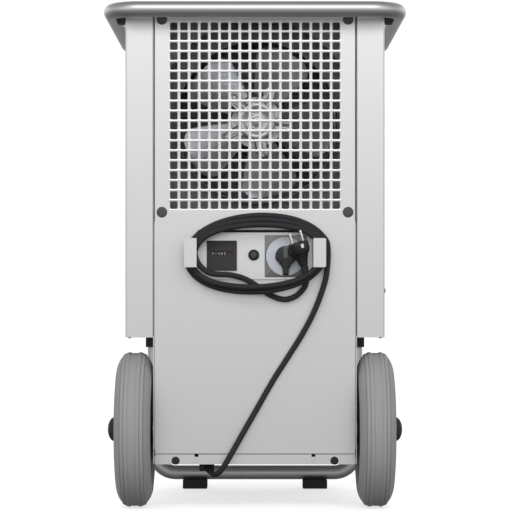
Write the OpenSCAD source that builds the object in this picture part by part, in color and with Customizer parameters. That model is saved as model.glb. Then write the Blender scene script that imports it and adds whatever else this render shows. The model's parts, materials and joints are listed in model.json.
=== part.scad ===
// Mobile commercial dehumidifier in a sheet-metal casing, on two wheels and a tube frame.
// +Z is up, -Y is the service side (controls and air outlet), the floor is at Z = 0.

/* [Casing] */
// Width of the upper casing
casing_w = 415; // [411:1:417]
// Depth from the rear face to the front face
casing_d = 452; // [450:1:460]
// Height of the casing's top edge above the floor
casing_top = 790; // [788:1:792]
// Height of the upper casing's lower edge
casing_bottom = 275; // [272:1:280]
// Width of the lower body
body_w = 326; // [326:1:327]
// Height of the body's underside
body_bottom = 71.5; // [70:0.5:72]
// Width of the rear and front panels
panel_w = 320; // [318:1:321]
// Thickness of the sheet metal
sheet_t = 1.5; // [1:0.1:1.6]
// Bend radius of the casing's edges
casing_bend = 3; // [2:0.5:5]

/* [Air grille] */
// Holes side by side
grille_columns = 17; // [9:2:17]
// Holes one above the other
grille_rows = 19; // [9:2:19]
// Side of each square hole
grille_hole = 11.6; // [8:0.1:13]
// Distance between hole centres, across
grille_pitch_x = 16.24; // [15:0.01:16.5]
// Distance between hole centres, up and down
grille_pitch_z = 15.9; // [15:0.01:16]
// Height of the grille's centre
grille_z = 629.7; // [625:0.1:632]

/* [Handle ring] */
// Diameter of the handle and frame tubes
tube_d = 25; // [22:0.5:25]
// Width of the ring, between tube centres
ring_w = 460; // [458:1:464]
// Gap between the rear face and the ring's rear tube
ring_gap = 20.5; // [18:0.5:24]
// Bend radius of the ring's corners
ring_bend = 45; // [40:1:60]
// Height of the ring's centre
ring_z = 796; // [794:0.5:798]

/* [Wheels] */
// Wheel diameter
wheel_d = 250; // [240:1:260]
// Tyre width
tyre_w = 58; // [56:1:58]
// Distance between the two tyre centres
track_w = 389; // [389:1:392]
// Axle diameter
axle_d = 20; // [16:1:20]
// Distance from the rear face forward to the axle
axle_in = 50; // [45:1:55]

/* [Front frame] */
// Width of the frame, between leg centres
frame_w = 356; // [356:1:358]
// Distance from the rear face forward to the frame
frame_in = 361; // [355:1:365]
// Height of the rubber feet
foot_h = 15; // [12:0.5:16]

/* [Fan] */
// Height of the fan's axis
fan_z = 625; // [622:1:628]
// Sideways offset of the fan's axis
fan_x = 3; // [0:1:4]
// Fan diameter over the blade tips
fan_d = 254; // [240:1:256]
// Number of blades
fan_blades_n = 5; // [3:1:5]

/* [Water tank] */
// Width of the tank
tank_w = 280; // [260:1:280]
// Height of the tank
tank_h = 228; // [200:1:228]
// Depth of the tank
tank_d = 162; // [140:1:162]
// Thickness of the tank's walls
tank_wall = 3; // [2:0.5:4]

/* [Controls] */
// Width of the control plate
plate_w = 184; // [180:1:184]
// Height of the control plate
plate_h = 75; // [72:1:76]
// Height of the control plate's centre
plate_z = 405.5; // [405:0.5:406]
// Reach of the cord hooks behind the rear face
hook_reach = 43.5; // [42:0.5:46]

/* [Cord] */
// Diameter of the mains cord
cord_d = 9; // [8:0.5:9]

/* [Hidden] */
$fn = 64;

// Depths are measured from the rear face, forward being positive, and at_rear() moves them to their place.
ring_rear_in = -ring_gap - tube_d / 2;
ring_front_in = casing_d + 33;
wheel_rear_in = axle_in - wheel_d / 2;
rear_y = -(ring_front_in + tube_d / 2 + wheel_rear_in) / 2;
half_w = casing_w / 2;
body_half = body_w / 2;
panel_half = panel_w / 2;
panel_top = casing_top - 2;
strip_top = 88;
return_edge = 163.5;
tube_r = tube_d / 2;
tube_wall = 2;
frame_bend = 37.5;
wheel_r = wheel_d / 2;
axle_r = axle_d / 2;
axle_z = wheel_r;
hub_reach = 31.5;
run_gap = 0.06;
free_gap = 0.3;
cap_x = 149;
cap_z = [475.5, 784];
fan_r = fan_d / 2;
blade_pitch = 24;
blade_start = -66;
blade_in = 63;
shroud_half = 161.3;
shroud_z = [468, 786];
gusset_r = 164;
bracket_reach = 142;
coil_z = [470, 782];
coil_x = [-150, 135];
fins_n = 30;
fin_t = 1;
return_bends_n = 7;
tray_top = 462;
tank_z = 92;
tank_front = casing_d;
tank_back = tank_front - tank_d;
float_x = 102;
float_pivot_in = tank_back + 12;
float_pivot_z = 290;
filter_in = [casing_d - 31.5, casing_d - 16.5];
spout_in = tank_back + 25;
flange_top = 84;
panel_gap = 1.2;
filter_z = [474, 786];
meter_x = -53;
meter_z = 405.8;
reset_x = -2;
reset_z = 407;
dial_x = 49;
dial_z = 405;
dial_shaft_r = 3;
hook_x = plate_w / 2 + 0.3;
hook_z = [387, 433];
cord_r = cord_d / 2;
compressor_at = [-60, 150];

// Cord routes, each point as [across, behind the rear face, up].
// From the boot under the base, up the rear panel to the right end of the winding.
lead_route = [
    [-71, -19, 59], [-66, -4, 55.5], [-57, 8, 60], [-47, 14, 74], [-36, 15, 93], [-23, 13, 116],
    [0, 9, 156], [28, 6, 205], [52, 7, 243], [74, 10, 278], [92, 14, 312], [106, 17, 347], [114, 20, 378]
];
// From the winding's lower run, down in a loose loop and up to the plug.
tail_route = [
    [-8, 14, 364.5], [8, 12, 354], [24, 11, 343], [46, 11.5, 336], [64, 13, 340.8], [77, 18, 353],
    [82, 25, 366], [81, 31, 377]
];
lead_start = [0.25, 0.92, -0.2];
lead_end = [0.12, 0, 0.99];
tail_start = [0.82, -0.1, -0.55];
plug_axis = [-0.265, 0.1, 0.959];
plug_base = tail_route[7];
plug_tail_l = 16;
plug_grip_l = 16;
plug_head_l = 19;
plug_head_r = 16.4;
pin_spacing = 19;
pin_r = 2.4;
pin_l = 19;
pin_roll = 0;
winding_x = 2.5;
winding_z = 408;
winding_depth = [14, 41];
winding_outer = [120, 66];
winding_inner = [106, 40.5];

sheet_c = [0.80, 0.80, 0.81];
tube_c = [0.70, 0.70, 0.71];
black_c = [0.10, 0.10, 0.11];
tyre_c = [0.62, 0.62, 0.62];
copper_c = [0.72, 0.45, 0.30];

// ---- Helpers ----

module at_rear() translate([0, rear_y, 0]) children();

module block(lo, hi) translate(lo) cube(hi - lo);

// A 2D outline in across and up, given thickness from depth y0 to depth y1.
module upright(y0, y1) translate([0, y1, 0]) rotate([90, 0, 0]) linear_extrude(y1 - y0) children();

module rect(lo, hi) translate(lo) square(hi - lo);

module rounded_rect(lo, hi, r) {
    rect([lo.x + r, lo.y], [hi.x - r, hi.y]);
    rect([lo.x, lo.y + r], [hi.x, hi.y - r]);
    for (x = [lo.x + r, hi.x - r], y = [lo.y + r, hi.y - r]) translate([x, y]) circle(r = r);
}

// A straight round bar between two points.
module rod(from, to, r) {
    v = to - from;
    translate(from) rotate([0, acos(v.z / norm(v)), atan2(v.y, v.x)]) cylinder(h = norm(v), r = r);
}

// A pipe through a list of points, with a ball at each corner.
module pipe(points, r) {
    for (i = [0:len(points) - 2]) rod(points[i], points[i + 1], r);
    for (i = [1:len(points) - 2]) translate(points[i]) sphere(r = r);
}

module both_sides() {
    children();
    mirror([1, 0, 0]) children();
}

module quarter_bend(r_bend, r) rotate_extrude(angle = 90) translate([r_bend, 0]) circle(r = r);

// A solid of revolution whose axis runs along X; the profile gives radius and place along the axis.
module turned(profile) rotate([0, 90, 0]) rotate_extrude() polygon(profile);

// ---- Casing ----

module grille_holes() {
    for (i = [0:grille_columns - 1], j = [0:grille_rows - 1])
        translate([(i - (grille_columns - 1) / 2) * grille_pitch_x,
                   grille_z + (j - (grille_rows - 1) / 2) * grille_pitch_z])
            square(grille_hole, center = true);
}

module rear_panel() color(sheet_c) at_rear() upright(0, sheet_t) difference() {
    rect([-panel_half, strip_top + panel_gap], [panel_half, panel_top]);
    grille_holes();
    rect([-84, 372], [84, 438]);
    for (x = [-cap_x, cap_x], z = cap_z) if (z < panel_top - 10) translate([x, z]) circle(r = 3.2);
}

module rear_base_strip() color(sheet_c) at_rear() upright(0, sheet_t) difference() {
    rect([-panel_half, body_bottom + 0.5], [panel_half, strip_top]);
    for (x = [-93.5, 93.5]) rect([x - 3, 73.5], [x + 3, strip_top + 1]);
    for (x = [-127, 127]) translate([x, 78]) circle(r = 3.2);
}

// The front sheet has the air intake above and the tank's opening below.
module front_panel() color(sheet_c) at_rear() {
    upright(casing_d - sheet_t, casing_d) difference() {
        rect([-panel_half, body_bottom + 0.5], [panel_half, panel_top]);
        grille_holes();
        rect([-tank_w / 2 - 2, tank_z - 2], [tank_w / 2 + 2, tank_z + tank_h + 2]);
    }
    block([-150, filter_in[0] - 2, 470], [150, casing_d - sheet_t, filter_z[0] - free_gap]);
}

// The inner side wall runs the body's full height, set back behind the casing; its turned-in edge carries the
// rear panel.
module side_panel() {
    difference() {
        block([body_half - sheet_t, 0.5, body_bottom + 0.5], [body_half, casing_d - 0.5, panel_top]);
        rod([body_half - 5, axle_in, axle_z], [body_half + 5, axle_in, axle_z], axle_r + 0.4);
        block([body_half - sheet_t - 1, 0, casing_bottom + 2], [body_half + 1, 7, panel_top + 1]);
    }
    block([146, sheet_t + 2.5, 96], [body_half - sheet_t, 2 * sheet_t + 2.5, 460]);
}

module side_panel_left() color(sheet_c) at_rear() mirror([1, 0, 0]) side_panel();
module side_panel_right() color(sheet_c) at_rear() side_panel();

// The outer casing is a deep channel: side wall, turned-in edges front and rear, and a closed underside.
module casing_side() {
    translate([0, 0, casing_bottom]) linear_extrude(casing_top - casing_bottom) intersection() {
        difference() {
            rounded_rect([-half_w, 0], [half_w, casing_d], casing_bend);
            rounded_rect([sheet_t - half_w, sheet_t], [half_w - sheet_t, casing_d - sheet_t],
                         casing_bend - sheet_t);
        }
        rect([return_edge, -1], [half_w + 1, casing_d + 1]);
    }
    block([body_half + 0.1, sheet_t, casing_bottom], [half_w - sheet_t, casing_d - sheet_t, casing_bottom + sheet_t]);
}

module casing_left() color(sheet_c) at_rear() mirror([1, 0, 0]) casing_side();
module casing_right() color(sheet_c) at_rear() casing_side();

// The top sheet has a slot that the air filter lifts out of.
module top_cover() color(sheet_c) at_rear() {
    cover_half = half_w - sheet_t - 1;
    difference() {
        block([-cover_half, sheet_t + 0.1, casing_top - sheet_t],
              [cover_half, casing_d - sheet_t - 0.1, casing_top]);
        block([-150, filter_in[0] - 1, casing_top - 3], [150, filter_in[1] + 1, casing_top + 1]);
    }
}

module base_plate() color(sheet_c) at_rear() {
    edge = body_half - sheet_t - 0.1;
    block([-edge, 3.5, body_bottom + 2], [edge, casing_d - 2, body_bottom + 4]);
    block([-edge, 2, body_bottom + 2], [edge, 3.5, flange_top]);
    both_sides() block([118, tank_back, body_bottom + 4], [130, casing_d - 4, tank_z - free_gap]);
}

// Condensate from the evaporator runs over this tray and down its spout into the tank.
module drip_tray() color(sheet_c) at_rear() {
    difference() {
        union() {
            block([-150, 160, 440], [138, 330, tray_top]);
            translate([0, spout_in, 335]) cylinder(h = 105, r = 9);
        }
        block([-148, 162, 442], [136, 328, tray_top + 1]);
        translate([0, spout_in, 330]) cylinder(h = 120, r = 7);
    }
    for (y = [168, 318]) {
        block([138, y, 448], [shroud_half, y + 8, 452]);
        block([-shroud_half, y, 448], [-150, y + 8, 452]);
    }
}

module handle_ring() color(tube_c) at_rear() {
    half_x = ring_w / 2;
    half_y = (ring_front_in - ring_rear_in) / 2;
    translate([0, (ring_front_in + ring_rear_in) / 2, ring_z]) {
        for (sx = [0, 1], sy = [0, 1]) mirror([sx, 0, 0]) mirror([0, sy, 0])
            translate([half_x - ring_bend, half_y - ring_bend, 0]) quarter_bend(ring_bend, tube_r);
        for (s = [-1, 1]) {
            translate([s * half_x, 0, 0]) rotate([90, 0, 0])
                cylinder(h = 2 * (half_y - ring_bend), r = tube_r, center = true);
            translate([0, s * half_y, 0]) rotate([0, 90, 0])
                cylinder(h = 2 * (half_x - ring_bend), r = tube_r, center = true);
        }
    }
}

// Four moulded blocks hold the ring off the casing's side walls.
module ring_blocks() color(black_c) at_rear() both_sides() for (y = [18, casing_d - 48]) difference() {
    block([half_w, y, ring_z - 15], [ring_w / 2 - 8, y + 30, ring_z + 8]);
    rod([ring_w / 2, y - 5, ring_z], [ring_w / 2, y + 35, ring_z], tube_r);
}

module panel_caps() color([0.28, 0.28, 0.28]) at_rear() for (x = [-cap_x, cap_x], z = cap_z) {
    translate([x, 0, z]) rotate([90, 0, 0]) cylinder(h = 2.4, r1 = 8.6, r2 = 7.8);
    if (z < panel_top - 10) translate([x, 3, z]) rotate([90, 0, 0]) cylinder(h = 3, r = 3.2);
}

// A button-head screw with a hexagon socket, its head towards -Y.
module button_screw(head_r, shank_l) difference() {
    union() {
        rotate([90, 0, 0]) cylinder(h = head_r * 0.22, r = head_r);
        translate([0, -head_r * 0.22, 0]) rotate([90, 0, 0])
            cylinder(h = head_r * 0.3, r1 = head_r, r2 = head_r * 0.62);
        if (shank_l > 0) translate([0, shank_l, 0]) rotate([90, 0, 0]) cylinder(h = shank_l, r = head_r / 2);
    }
    translate([0, -head_r * 0.16, 0]) rotate([90, 0, 0]) cylinder(h = head_r, r = head_r * 0.42, $fn = 6);
}

module casing_screws() color(black_c) at_rear() {
    for (x = [-127, 127]) translate([x, 0, 78]) button_screw(6.4, sheet_t);
    translate([half_w, 20, 350]) rotate([0, 0, 90]) button_screw(4.5, 0);
    both_sides() translate([201, 8, casing_bottom]) rotate([90, 0, 0]) button_screw(3, 0);
}

// ---- Frame, feet and wheels ----

// A U of tube: level under the front of the body, its legs rising beside the body to the casing.
module front_frame() color(tube_c) at_rear() translate([0, frame_in, foot_h + tube_r]) difference() {
    leg_top = casing_bottom - foot_h - tube_r;
    frame_bar(tube_r, leg_top);
    frame_bar(tube_r - tube_wall, leg_top + 1);
}

module frame_bar(r, leg_top) {
    leg_x = frame_w / 2;
    rod([frame_bend - leg_x, 0, 0], [leg_x - frame_bend, 0, 0], r);
    both_sides() {
        translate([leg_x - frame_bend, 0, frame_bend]) rotate([90, 0, 0]) rotate([0, 0, -90])
            quarter_bend(frame_bend, r);
        rod([leg_x, 0, frame_bend], [leg_x, 0, leg_top], r);
    }
}

module frame_clamps() color(black_c) at_rear() both_sides() for (z = [108, 250]) difference() {
    block([body_half, frame_in - 17, z], [frame_w / 2 + 15, frame_in + 17, z + 18]);
    rod([frame_w / 2, frame_in, z - 2], [frame_w / 2, frame_in, z + 20], tube_r);
}

module feet() color(black_c) at_rear() both_sides() difference() {
    block([84.5, frame_in - 20, 0], [127.5, frame_in + 20, foot_h + 1]);
    rod([80, frame_in, foot_h + tube_r], [132, frame_in, foot_h + tube_r], tube_r);
}

module axle() color(tube_c) at_rear()
    rod([-track_w / 2 - hub_reach - 5, axle_in, axle_z], [track_w / 2 + hub_reach + 5, axle_in, axle_z], axle_r);

module axle_brackets() color(sheet_c) at_rear() both_sides() difference() {
    block([150, axle_in - 22, body_bottom + 4], [body_half - sheet_t, axle_in + 22, axle_z + 24]);
    rod([148, axle_in, axle_z], [body_half, axle_in, axle_z], axle_r);
}

module at_wheel() at_rear() translate([track_w / 2, axle_in, axle_z]) children();

// Half of the tyre's section, as [radius, distance from the tyre's middle plane].
tyre_half = [
    [84, 22], [87, 26.6], [94, 29], [102, 28.2], [110, 25.6], [116, 22], [119.6, 18.9], [121.6, 18.3],
    [123.4, 12.8], [124.6, 12.2], [125, 6.6], [123.6, 5.8]
];

module tyre() at_wheel() turned([
    for (p = tyre_half) [p[0] + wheel_r - 125, p[1] * tyre_w / 58],
    for (i = [len(tyre_half) - 1:-1:0]) [tyre_half[i][0] + wheel_r - 125, -tyre_half[i][1] * tyre_w / 58]
]);

module rim() at_wheel() {
    seat_r = 84 + wheel_r - 125;
    difference() {
        turned([[13, -28.5], [24, -28.5], [26, -6], [seat_r - 7, -6], [seat_r - 5, -22], [seat_r, -22],
                [seat_r, 22], [seat_r - 5, 22], [seat_r - 7, 2], [26, 2], [24, hub_reach], [13, hub_reach]]);
        for (a = [0:72:288]) rotate([a, 0, 0]) rod([-10, 51, 0], [10, 51, 0], 15);
    }
}

module bush() at_wheel()
    turned([[axle_r + run_gap, -28.5], [13, -28.5], [13, hub_reach], [axle_r + run_gap, hub_reach]]);

module hub_cap() at_wheel() translate([hub_reach + 0.5, 0, 0]) turned([
    [axle_r, 0], [19.5, 0], [19.5, 2],
    for (t = [15:15:75]) [19.5 * cos(t), 2 + 10.5 * sin(t)],
    [0, 12.5], [0, 4.5], [axle_r, 4.5]
]);

module tyre_left() color(tyre_c) mirror([1, 0, 0]) tyre();
module tyre_right() color(tyre_c) tyre();
module rim_left() color(black_c) mirror([1, 0, 0]) rim();
module rim_right() color(black_c) rim();
module bush_left() color("white") mirror([1, 0, 0]) bush();
module bush_right() color("white") bush();
module hub_cap_left() color(black_c) mirror([1, 0, 0]) hub_cap();
module hub_cap_right() color(black_c) hub_cap();

// ---- Fan ----

module at_fan() at_rear() translate([fan_x, 0, fan_z]) children();

// A pan open to the rear, with the fan's opening in its floor and gussets across its rear corners.
module fan_shroud() color([0.35, 0.35, 0.36]) at_rear() {
    upright(46, 90) difference() {
        rect([-shroud_half, shroud_z[0]], [shroud_half, shroud_z[1]]);
        rect([-shroud_half + sheet_t, shroud_z[0] + sheet_t], [shroud_half - sheet_t, shroud_z[1] - sheet_t]);
    }
    upright(44.5, 46) difference() {
        rect([-shroud_half, shroud_z[0]], [shroud_half, shroud_z[1]]);
        translate([fan_x, fan_z]) circle(r = gusset_r);
        rect([-shroud_half - 1, fan_z - 60], [shroud_half + 1, fan_z + 60]);
        rect([-60, shroud_z[0] - 1], [60, shroud_z[1] + 1]);
    }
    upright(88.5, 90) difference() {
        rect([-shroud_half, shroud_z[0]], [shroud_half, shroud_z[1]]);
        translate([fan_x, fan_z]) circle(r = fan_r + 6);
    }
    upright(64, 88.5) translate([fan_x, fan_z]) difference() {
        circle(r = fan_r + 6);
        circle(r = fan_r + 4.5);
    }
}

module fan_motor() color([0.55, 0.55, 0.57]) at_fan() difference() {
    union() {
        rod([0, 78, 0], [0, 130, 0], 42);
        rod([0, 72, 0], [0, 78, 0], 20);
    }
    rod([0, 70, 0], [0, 90, 0], 6 + run_gap);
}

module motor_bracket() color(black_c) at_fan() {
    difference() {
        rod([0, 130, 0], [0, 134, 0], 46);
        rod([0, 129, 0], [0, 135, 0], 30);
    }
    for (a = [45:90:315]) rotate([0, a, 0]) {
        block([44, 130, -7], [bracket_reach, 134, 7]);
        block([bracket_reach - 4, 90, -7], [bracket_reach, 130, 7]);
    }
}

// The stamped hub has one ribbed arm per blade, and the shaft.
module fan_spider() color([0.85, 0.86, 0.88]) at_fan() {
    difference() {
        rod([0, 44, 0], [0, 66, 0], 30);
        rod([0, 47, 0], [0, 67, 0], 27.5);
    }
    rod([0, 46, 0], [0, 86, 0], 6);
    for (i = [0:fan_blades_n - 1]) rotate([0, blade_start + i * 360 / fan_blades_n, 0]) {
        translate([0, blade_in, 0]) rotate([blade_pitch, 0, 0]) {
            block([29, -3.5, -10], [58, -1, 10]);
            for (z = [-7, 4]) block([29, -5.5, z], [58, -3.5, z + 3]);
        }
    }
}

// Wide paddles, pitched about their own length, with their tips on one circle.
module fan_blades() color([0.45, 0.45, 0.46]) at_fan() for (i = [0:fan_blades_n - 1])
    rotate([0, blade_start + i * 360 / fan_blades_n, 0]) translate([0, blade_in, 0]) rotate([blade_pitch, 0, 0])
        rotate([90, 0, 0]) linear_extrude(2, center = true) intersection() {
            circle(r = fan_r - 3);
            polygon([[40, -24], [62, -38], [100, -48], [130, -50], [130, 50], [100, 48], [62, 38], [40, 24]]);
        }

// ---- Refrigerant circuit ----

// A coil: fins between a rail above and one below, end plates, and the return bends on its right end.
module coil(y0, y1) {
    pitch = (coil_x[1] - coil_x[0]) / (fins_n + 1);
    for (i = [1:fins_n]) let (x = coil_x[0] + i * pitch)
        block([x, y0 + 2, coil_z[0] + 2], [x + fin_t, y1 - 2, coil_z[1] - 2]);
    for (z = [coil_z[0], coil_z[1] - 2]) block([coil_x[0], y0 + 2, z], [coil_x[1], y1 - 2, z + 2]);
    for (x = [coil_x[0], coil_x[1] - sheet_t]) block([x, y0, tray_top], [x + sheet_t, y1, coil_z[1]]);
    for (i = [0:return_bends_n - 1]) translate([coil_x[1], (y0 + y1) / 2, coil_z[0] + 82 + i * 36])
        rotate([90, 0, 0]) rotate([0, 0, -90]) rotate_extrude(angle = 180) translate([9, 0]) circle(r = 4);
}

module condenser() color([0.75, 0.76, 0.78]) at_rear() coil(165, 225);
module evaporator() color([0.75, 0.76, 0.78]) at_rear() coil(250, 300);

module refrigerant_lines() color(copper_c) at_rear() {
    pipe([[-75, 150, 261], [-75, 150, 320], [150, 150, 320], [150, 150, 500], [150, 190, 500], [135, 190, 500]], 4);
    pipe([[135, 215, 520], [152, 215, 520], [152, 215, 345], [70, 215, 345], [70, 170, 345], [70, 170, 250]], 4);
    pipe([[70, 170, 150], [70, 170, 120], [110, 170, 120], [110, 120, 120], [110, 120, 200]], 4);
    pipe([[110, 120, 262], [110, 120, 362], [110, 280, 362], [148, 280, 362], [148, 280, 500], [135, 280, 500]], 4);
    pipe([[135, 262, 540], [147, 262, 540], [147, 262, 380], [-40, 262, 380], [-40, 150, 380], [-40, 150, 261]], 5);
}

module compressor() color([0.13, 0.13, 0.14]) at_rear() translate([compressor_at.x, compressor_at.y, 0]) {
    rotate_extrude() polygon([[0, 88], [48, 88], [57, 96], [60, 108], [60, 168], [62.5, 168], [62.5, 174],
                              [60, 174], [60, 236], [56, 250], [46, 261], [0, 261]]);
    difference() {
        for (a = [30, 150, 270]) rotate([0, 0, a]) block([0, -16, 86], [78, 16, 89]);
        for (a = [30, 150, 270]) rotate([0, 0, a]) translate([68, 0, 80]) cylinder(h = 12, r = 5);
    }
    block([52, -22, 180], [74, 22, 226]);
}

module compressor_mounts() color(black_c) at_rear() translate([compressor_at.x, compressor_at.y, 0])
    for (a = [30, 150, 270]) rotate([0, 0, a]) translate([68, 0, 0]) {
        translate([0, 0, body_bottom + 4]) cylinder(h = 86 - body_bottom - 4, r = 11);
        translate([0, 0, 86]) cylinder(h = 7, r = 5);
        translate([0, 0, 89]) cylinder(h = 3, r = 9);
    }

module filter_drier() color(copper_c) at_rear() translate([70, 170, 0]) rotate_extrude()
    polygon([[0, 150], [4, 150], [15, 168], [15, 232], [4, 250], [0, 250]]);

module solenoid_valve() color([0.6, 0.5, 0.25]) at_rear() translate([110, 120, 0]) {
    translate([0, 0, 200]) cylinder(h = 62, r = 10);
    block([-18, -18, 212], [18, 18, 248]);
}

// ---- Water tank, float and filter ----

module water_tank() color([0.85, 0.86, 0.86]) at_rear() {
    half = tank_w / 2;
    difference() {
        block([-half, tank_back, tank_z], [half, tank_front, tank_z + tank_h]);
        block([tank_wall - half, tank_back + tank_wall, tank_z + tank_wall],
              [half - tank_wall, tank_front - tank_wall, tank_z + tank_h + 1]);
    }
    for (x = [float_x - 14, float_x + 10]) difference() {
        block([x, tank_back + tank_wall, float_pivot_z - 8], [x + 4, float_pivot_in + 7, float_pivot_z + 8]);
        rod([x - 1, float_pivot_in, float_pivot_z], [x + 5, float_pivot_in, float_pivot_z], 3 + run_gap);
    }
}

module tank_handle() color(black_c) at_rear() {
    rod([-50, tank_front + 20, 268], [50, tank_front + 20, 268], 6);
    both_sides() {
        rod([44, tank_front, 268], [44, tank_front + 20, 268], 5);
        translate([44, tank_front, 268]) rotate([-90, 0, 0]) cylinder(h = 3, r = 10);
    }
}

// The float hangs from a pin in the tank's rear wall and rises with the water.
module tank_float() color([0.9, 0.5, 0.15]) at_rear() {
    rod([float_x - 16, float_pivot_in, float_pivot_z], [float_x + 16, float_pivot_in, float_pivot_z], 3);
    rod([float_x, float_pivot_in, float_pivot_z], [float_x, float_pivot_in + 50, float_pivot_z - 50], 2.4);
    translate([float_x, float_pivot_in + 50, float_pivot_z - 66]) cylinder(h = 32, r = 20);
}

module filter_frame() color(black_c) at_rear() {
    upright(filter_in[0], filter_in[1]) difference() {
        rect([-149, filter_z[0]], [149, filter_z[1]]);
        rect([-137, filter_z[0] + 12], [137, filter_z[1] - 12]);
    }
    block([-30, filter_in[0] + 5, filter_z[1]], [30, filter_in[1] - 5, filter_z[1] + 14]);
}

module filter_mesh() color([0.25, 0.25, 0.26]) at_rear()
    upright(filter_in[0] + 4, filter_in[1] - 4) rect([-137, filter_z[0] + 12], [137, filter_z[1] - 12]);

// ---- Controls ----

module electrical_box() color([0.6, 0.6, 0.6]) at_rear() difference() {
    block([-90, sheet_t, 364], [90, 62, 441]);
    block([-88, 0, 366], [88, 60, 439]);
}

module run_capacitor() color([0.8, 0.8, 0.82]) at_rear() translate([110, 40, 366]) cylinder(h = 78, r = 19);

// Outline shared by the control plate and its gasket, which is grow taller.
module plate_outline(grow) rounded_rect([-plate_w / 2, plate_z - plate_h / 2],
                                        [plate_w / 2, plate_z + plate_h / 2 + grow], 2);

module control_plate() color(sheet_c) at_rear() upright(-3.5, -2) difference() {
    plate_outline(0);
    rect([meter_x - 22.5, meter_z - 22.5], [meter_x + 22.5, meter_z + 22.5]);
    translate([reset_x, reset_z]) circle(r = 7.5);
    translate([dial_x, dial_z]) circle(r = dial_shaft_r + run_gap);
}

module plate_gasket() color(black_c) at_rear() upright(-2, 0) difference() {
    plate_outline(4);
    rect([-84, 372], [84, 438]);
}

// Two bent strips that the cord is wound on: a foot, an arm and a lip each.
module cord_hooks() color(sheet_c) at_rear() both_sides() {
    upright(-hook_reach, 1.5 - hook_reach) rounded_rect([hook_x, hook_z[0]], [hook_x + 20, hook_z[1]], 2.5);
    block([hook_x, 0.75 - hook_reach, hook_z[0]], [hook_x + 1.5, 0, hook_z[1]]);
    block([hook_x, -1.5, hook_z[0]], [hook_x + 14, 0, hook_z[1]]);
}

module hour_meter() color([0.22, 0.22, 0.22]) at_rear() {
    difference() {
        upright(-7, -3.5) rounded_rect([meter_x - 24, meter_z - 24], [meter_x + 24, meter_z + 24], 0.8);
        block([meter_x - 17, -8, meter_z + 0.5], [meter_x + 17, -5.6, meter_z + 6.5]);
    }
    block([meter_x - 22.5, -3.5, meter_z - 22.5], [meter_x + 22.5, 38, meter_z + 22.5]);
}

module reset_housing() color(black_c) at_rear() translate([reset_x, 0, reset_z]) rotate([-90, 0, 0])
    rotate_extrude() polygon([[5.3, -8.5], [6.6, -9.2], [8.2, -8.2], [9, -5.5], [9, -3.5], [7.5, -3.5],
                              [7.5, 30], [0, 30], [0, 12], [5.3, 12]]);

module reset_button() color([0.3, 0.3, 0.3]) at_rear() translate([reset_x, 0, reset_z])
    rod([0, -10, 0], [0, 8, 0], 5);

module dial_scale() color([0.85, 0.87, 0.9]) at_rear() difference() {
    union() {
        upright(-5, -3.5) rounded_rect([dial_x - 33.5, dial_z - 33.5], [dial_x + 33.5, dial_z + 33.5], 2);
        upright(-6.5, -5) translate([dial_x, dial_z]) circle(r = 31.6);
    }
    rod([dial_x, -8, dial_z], [dial_x, 0, dial_z], dial_shaft_r + free_gap);
}

// The knob points straight down at rest.
module dial_knob() color(black_c) at_rear() {
    upright(-14, -6.8) translate([dial_x, dial_z]) {
        circle(r = 16.6);
        polygon([[-15.6, -5.5], [-8.5, -15.5], [-5.6, -23], [-5, -30.5], [5, -30.5], [5.6, -23],
                 [8.5, -15.5], [15.6, -5.5]]);
    }
    block([dial_x - 3.6, -16, dial_z - 4], [dial_x + 3.6, -14, dial_z + 14]);
    rod([dial_x, -6.8, dial_z], [dial_x, 12, dial_z], dial_shaft_r);
}

// ---- Cord, plug and gland ----

function unit(v) = v / norm(v);
function place(p) = [p[0], -p[1], p[2]];

// The direction at each point of a route, its two ends given.
function tangents(pts, first, last) = [
    for (i = [0:len(pts) - 1]) i == 0 ? unit(place(first))
        : i == len(pts) - 1 ? unit(place(last)) : unit(pts[i + 1] - pts[i - 1])
];

// Points along a route with one more between each two, on a smooth curve through them.
function smooth(pts, dirs) = [
    for (i = [0:len(pts) - 2], t = [0, 0.5])
        let (span = norm(pts[i + 1] - pts[i]))
        (2 * t^3 - 3 * t^2 + 1) * pts[i] + (t^3 - 2 * t^2 + t) * span * dirs[i]
        + (3 * t^2 - 2 * t^3) * pts[i + 1] + (t^3 - t^2) * span * dirs[i + 1],
    pts[len(pts) - 1]
];

// A round tube as one polyhedron along a route; aside is a direction that the route never takes.
module cord_tube(route, first, last, aside) {
    sides = 10;
    coarse = [for (p = route) place(p)];
    pts = smooth(coarse, tangents(coarse, first, last));
    dirs = tangents(pts, first, last);
    n = len(pts);
    rings = [for (i = [0:n - 1])
        let (u = unit(cross(dirs[i], aside)), v = cross(dirs[i], u))
        for (k = [0:sides - 1]) pts[i] + cord_r * (cos(k * 360 / sides) * u + sin(k * 360 / sides) * v)];
    walls = [for (i = [0:n - 2], k = [0:sides - 1])
        [i * sides + k, (i + 1) * sides + k, (i + 1) * sides + (k + 1) % sides, i * sides + (k + 1) % sides]];
    start_face = [for (k = [0:sides - 1]) k];
    end_face = [for (k = [sides - 1:-1:0]) (n - 1) * sides + k];
    polyhedron(points = rings, faces = concat(walls, [start_face, end_face]));
}

module cord_lead() color(black_c) at_rear() cord_tube(lead_route, lead_start, lead_end, [1, 0.2, -0.6]);
module cord_tail() color(black_c) at_rear() cord_tube(tail_route, tail_start, plug_axis, [0, 1, 0]);

module stadium(half_length, r) {
    rect([r - half_length, -r], [half_length - r, r]);
    for (s = [-1, 1]) translate([s * (half_length - r), 0]) circle(r = r);
}

// The outer shape of the turns round the two hooks.
module cord_winding() color(black_c) at_rear()
    upright(-winding_depth[1], -winding_depth[0]) translate([winding_x, winding_z]) difference() {
        stadium(winding_outer[0], winding_outer[1]);
        stadium(winding_inner[0], winding_inner[1]);
    }

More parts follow.
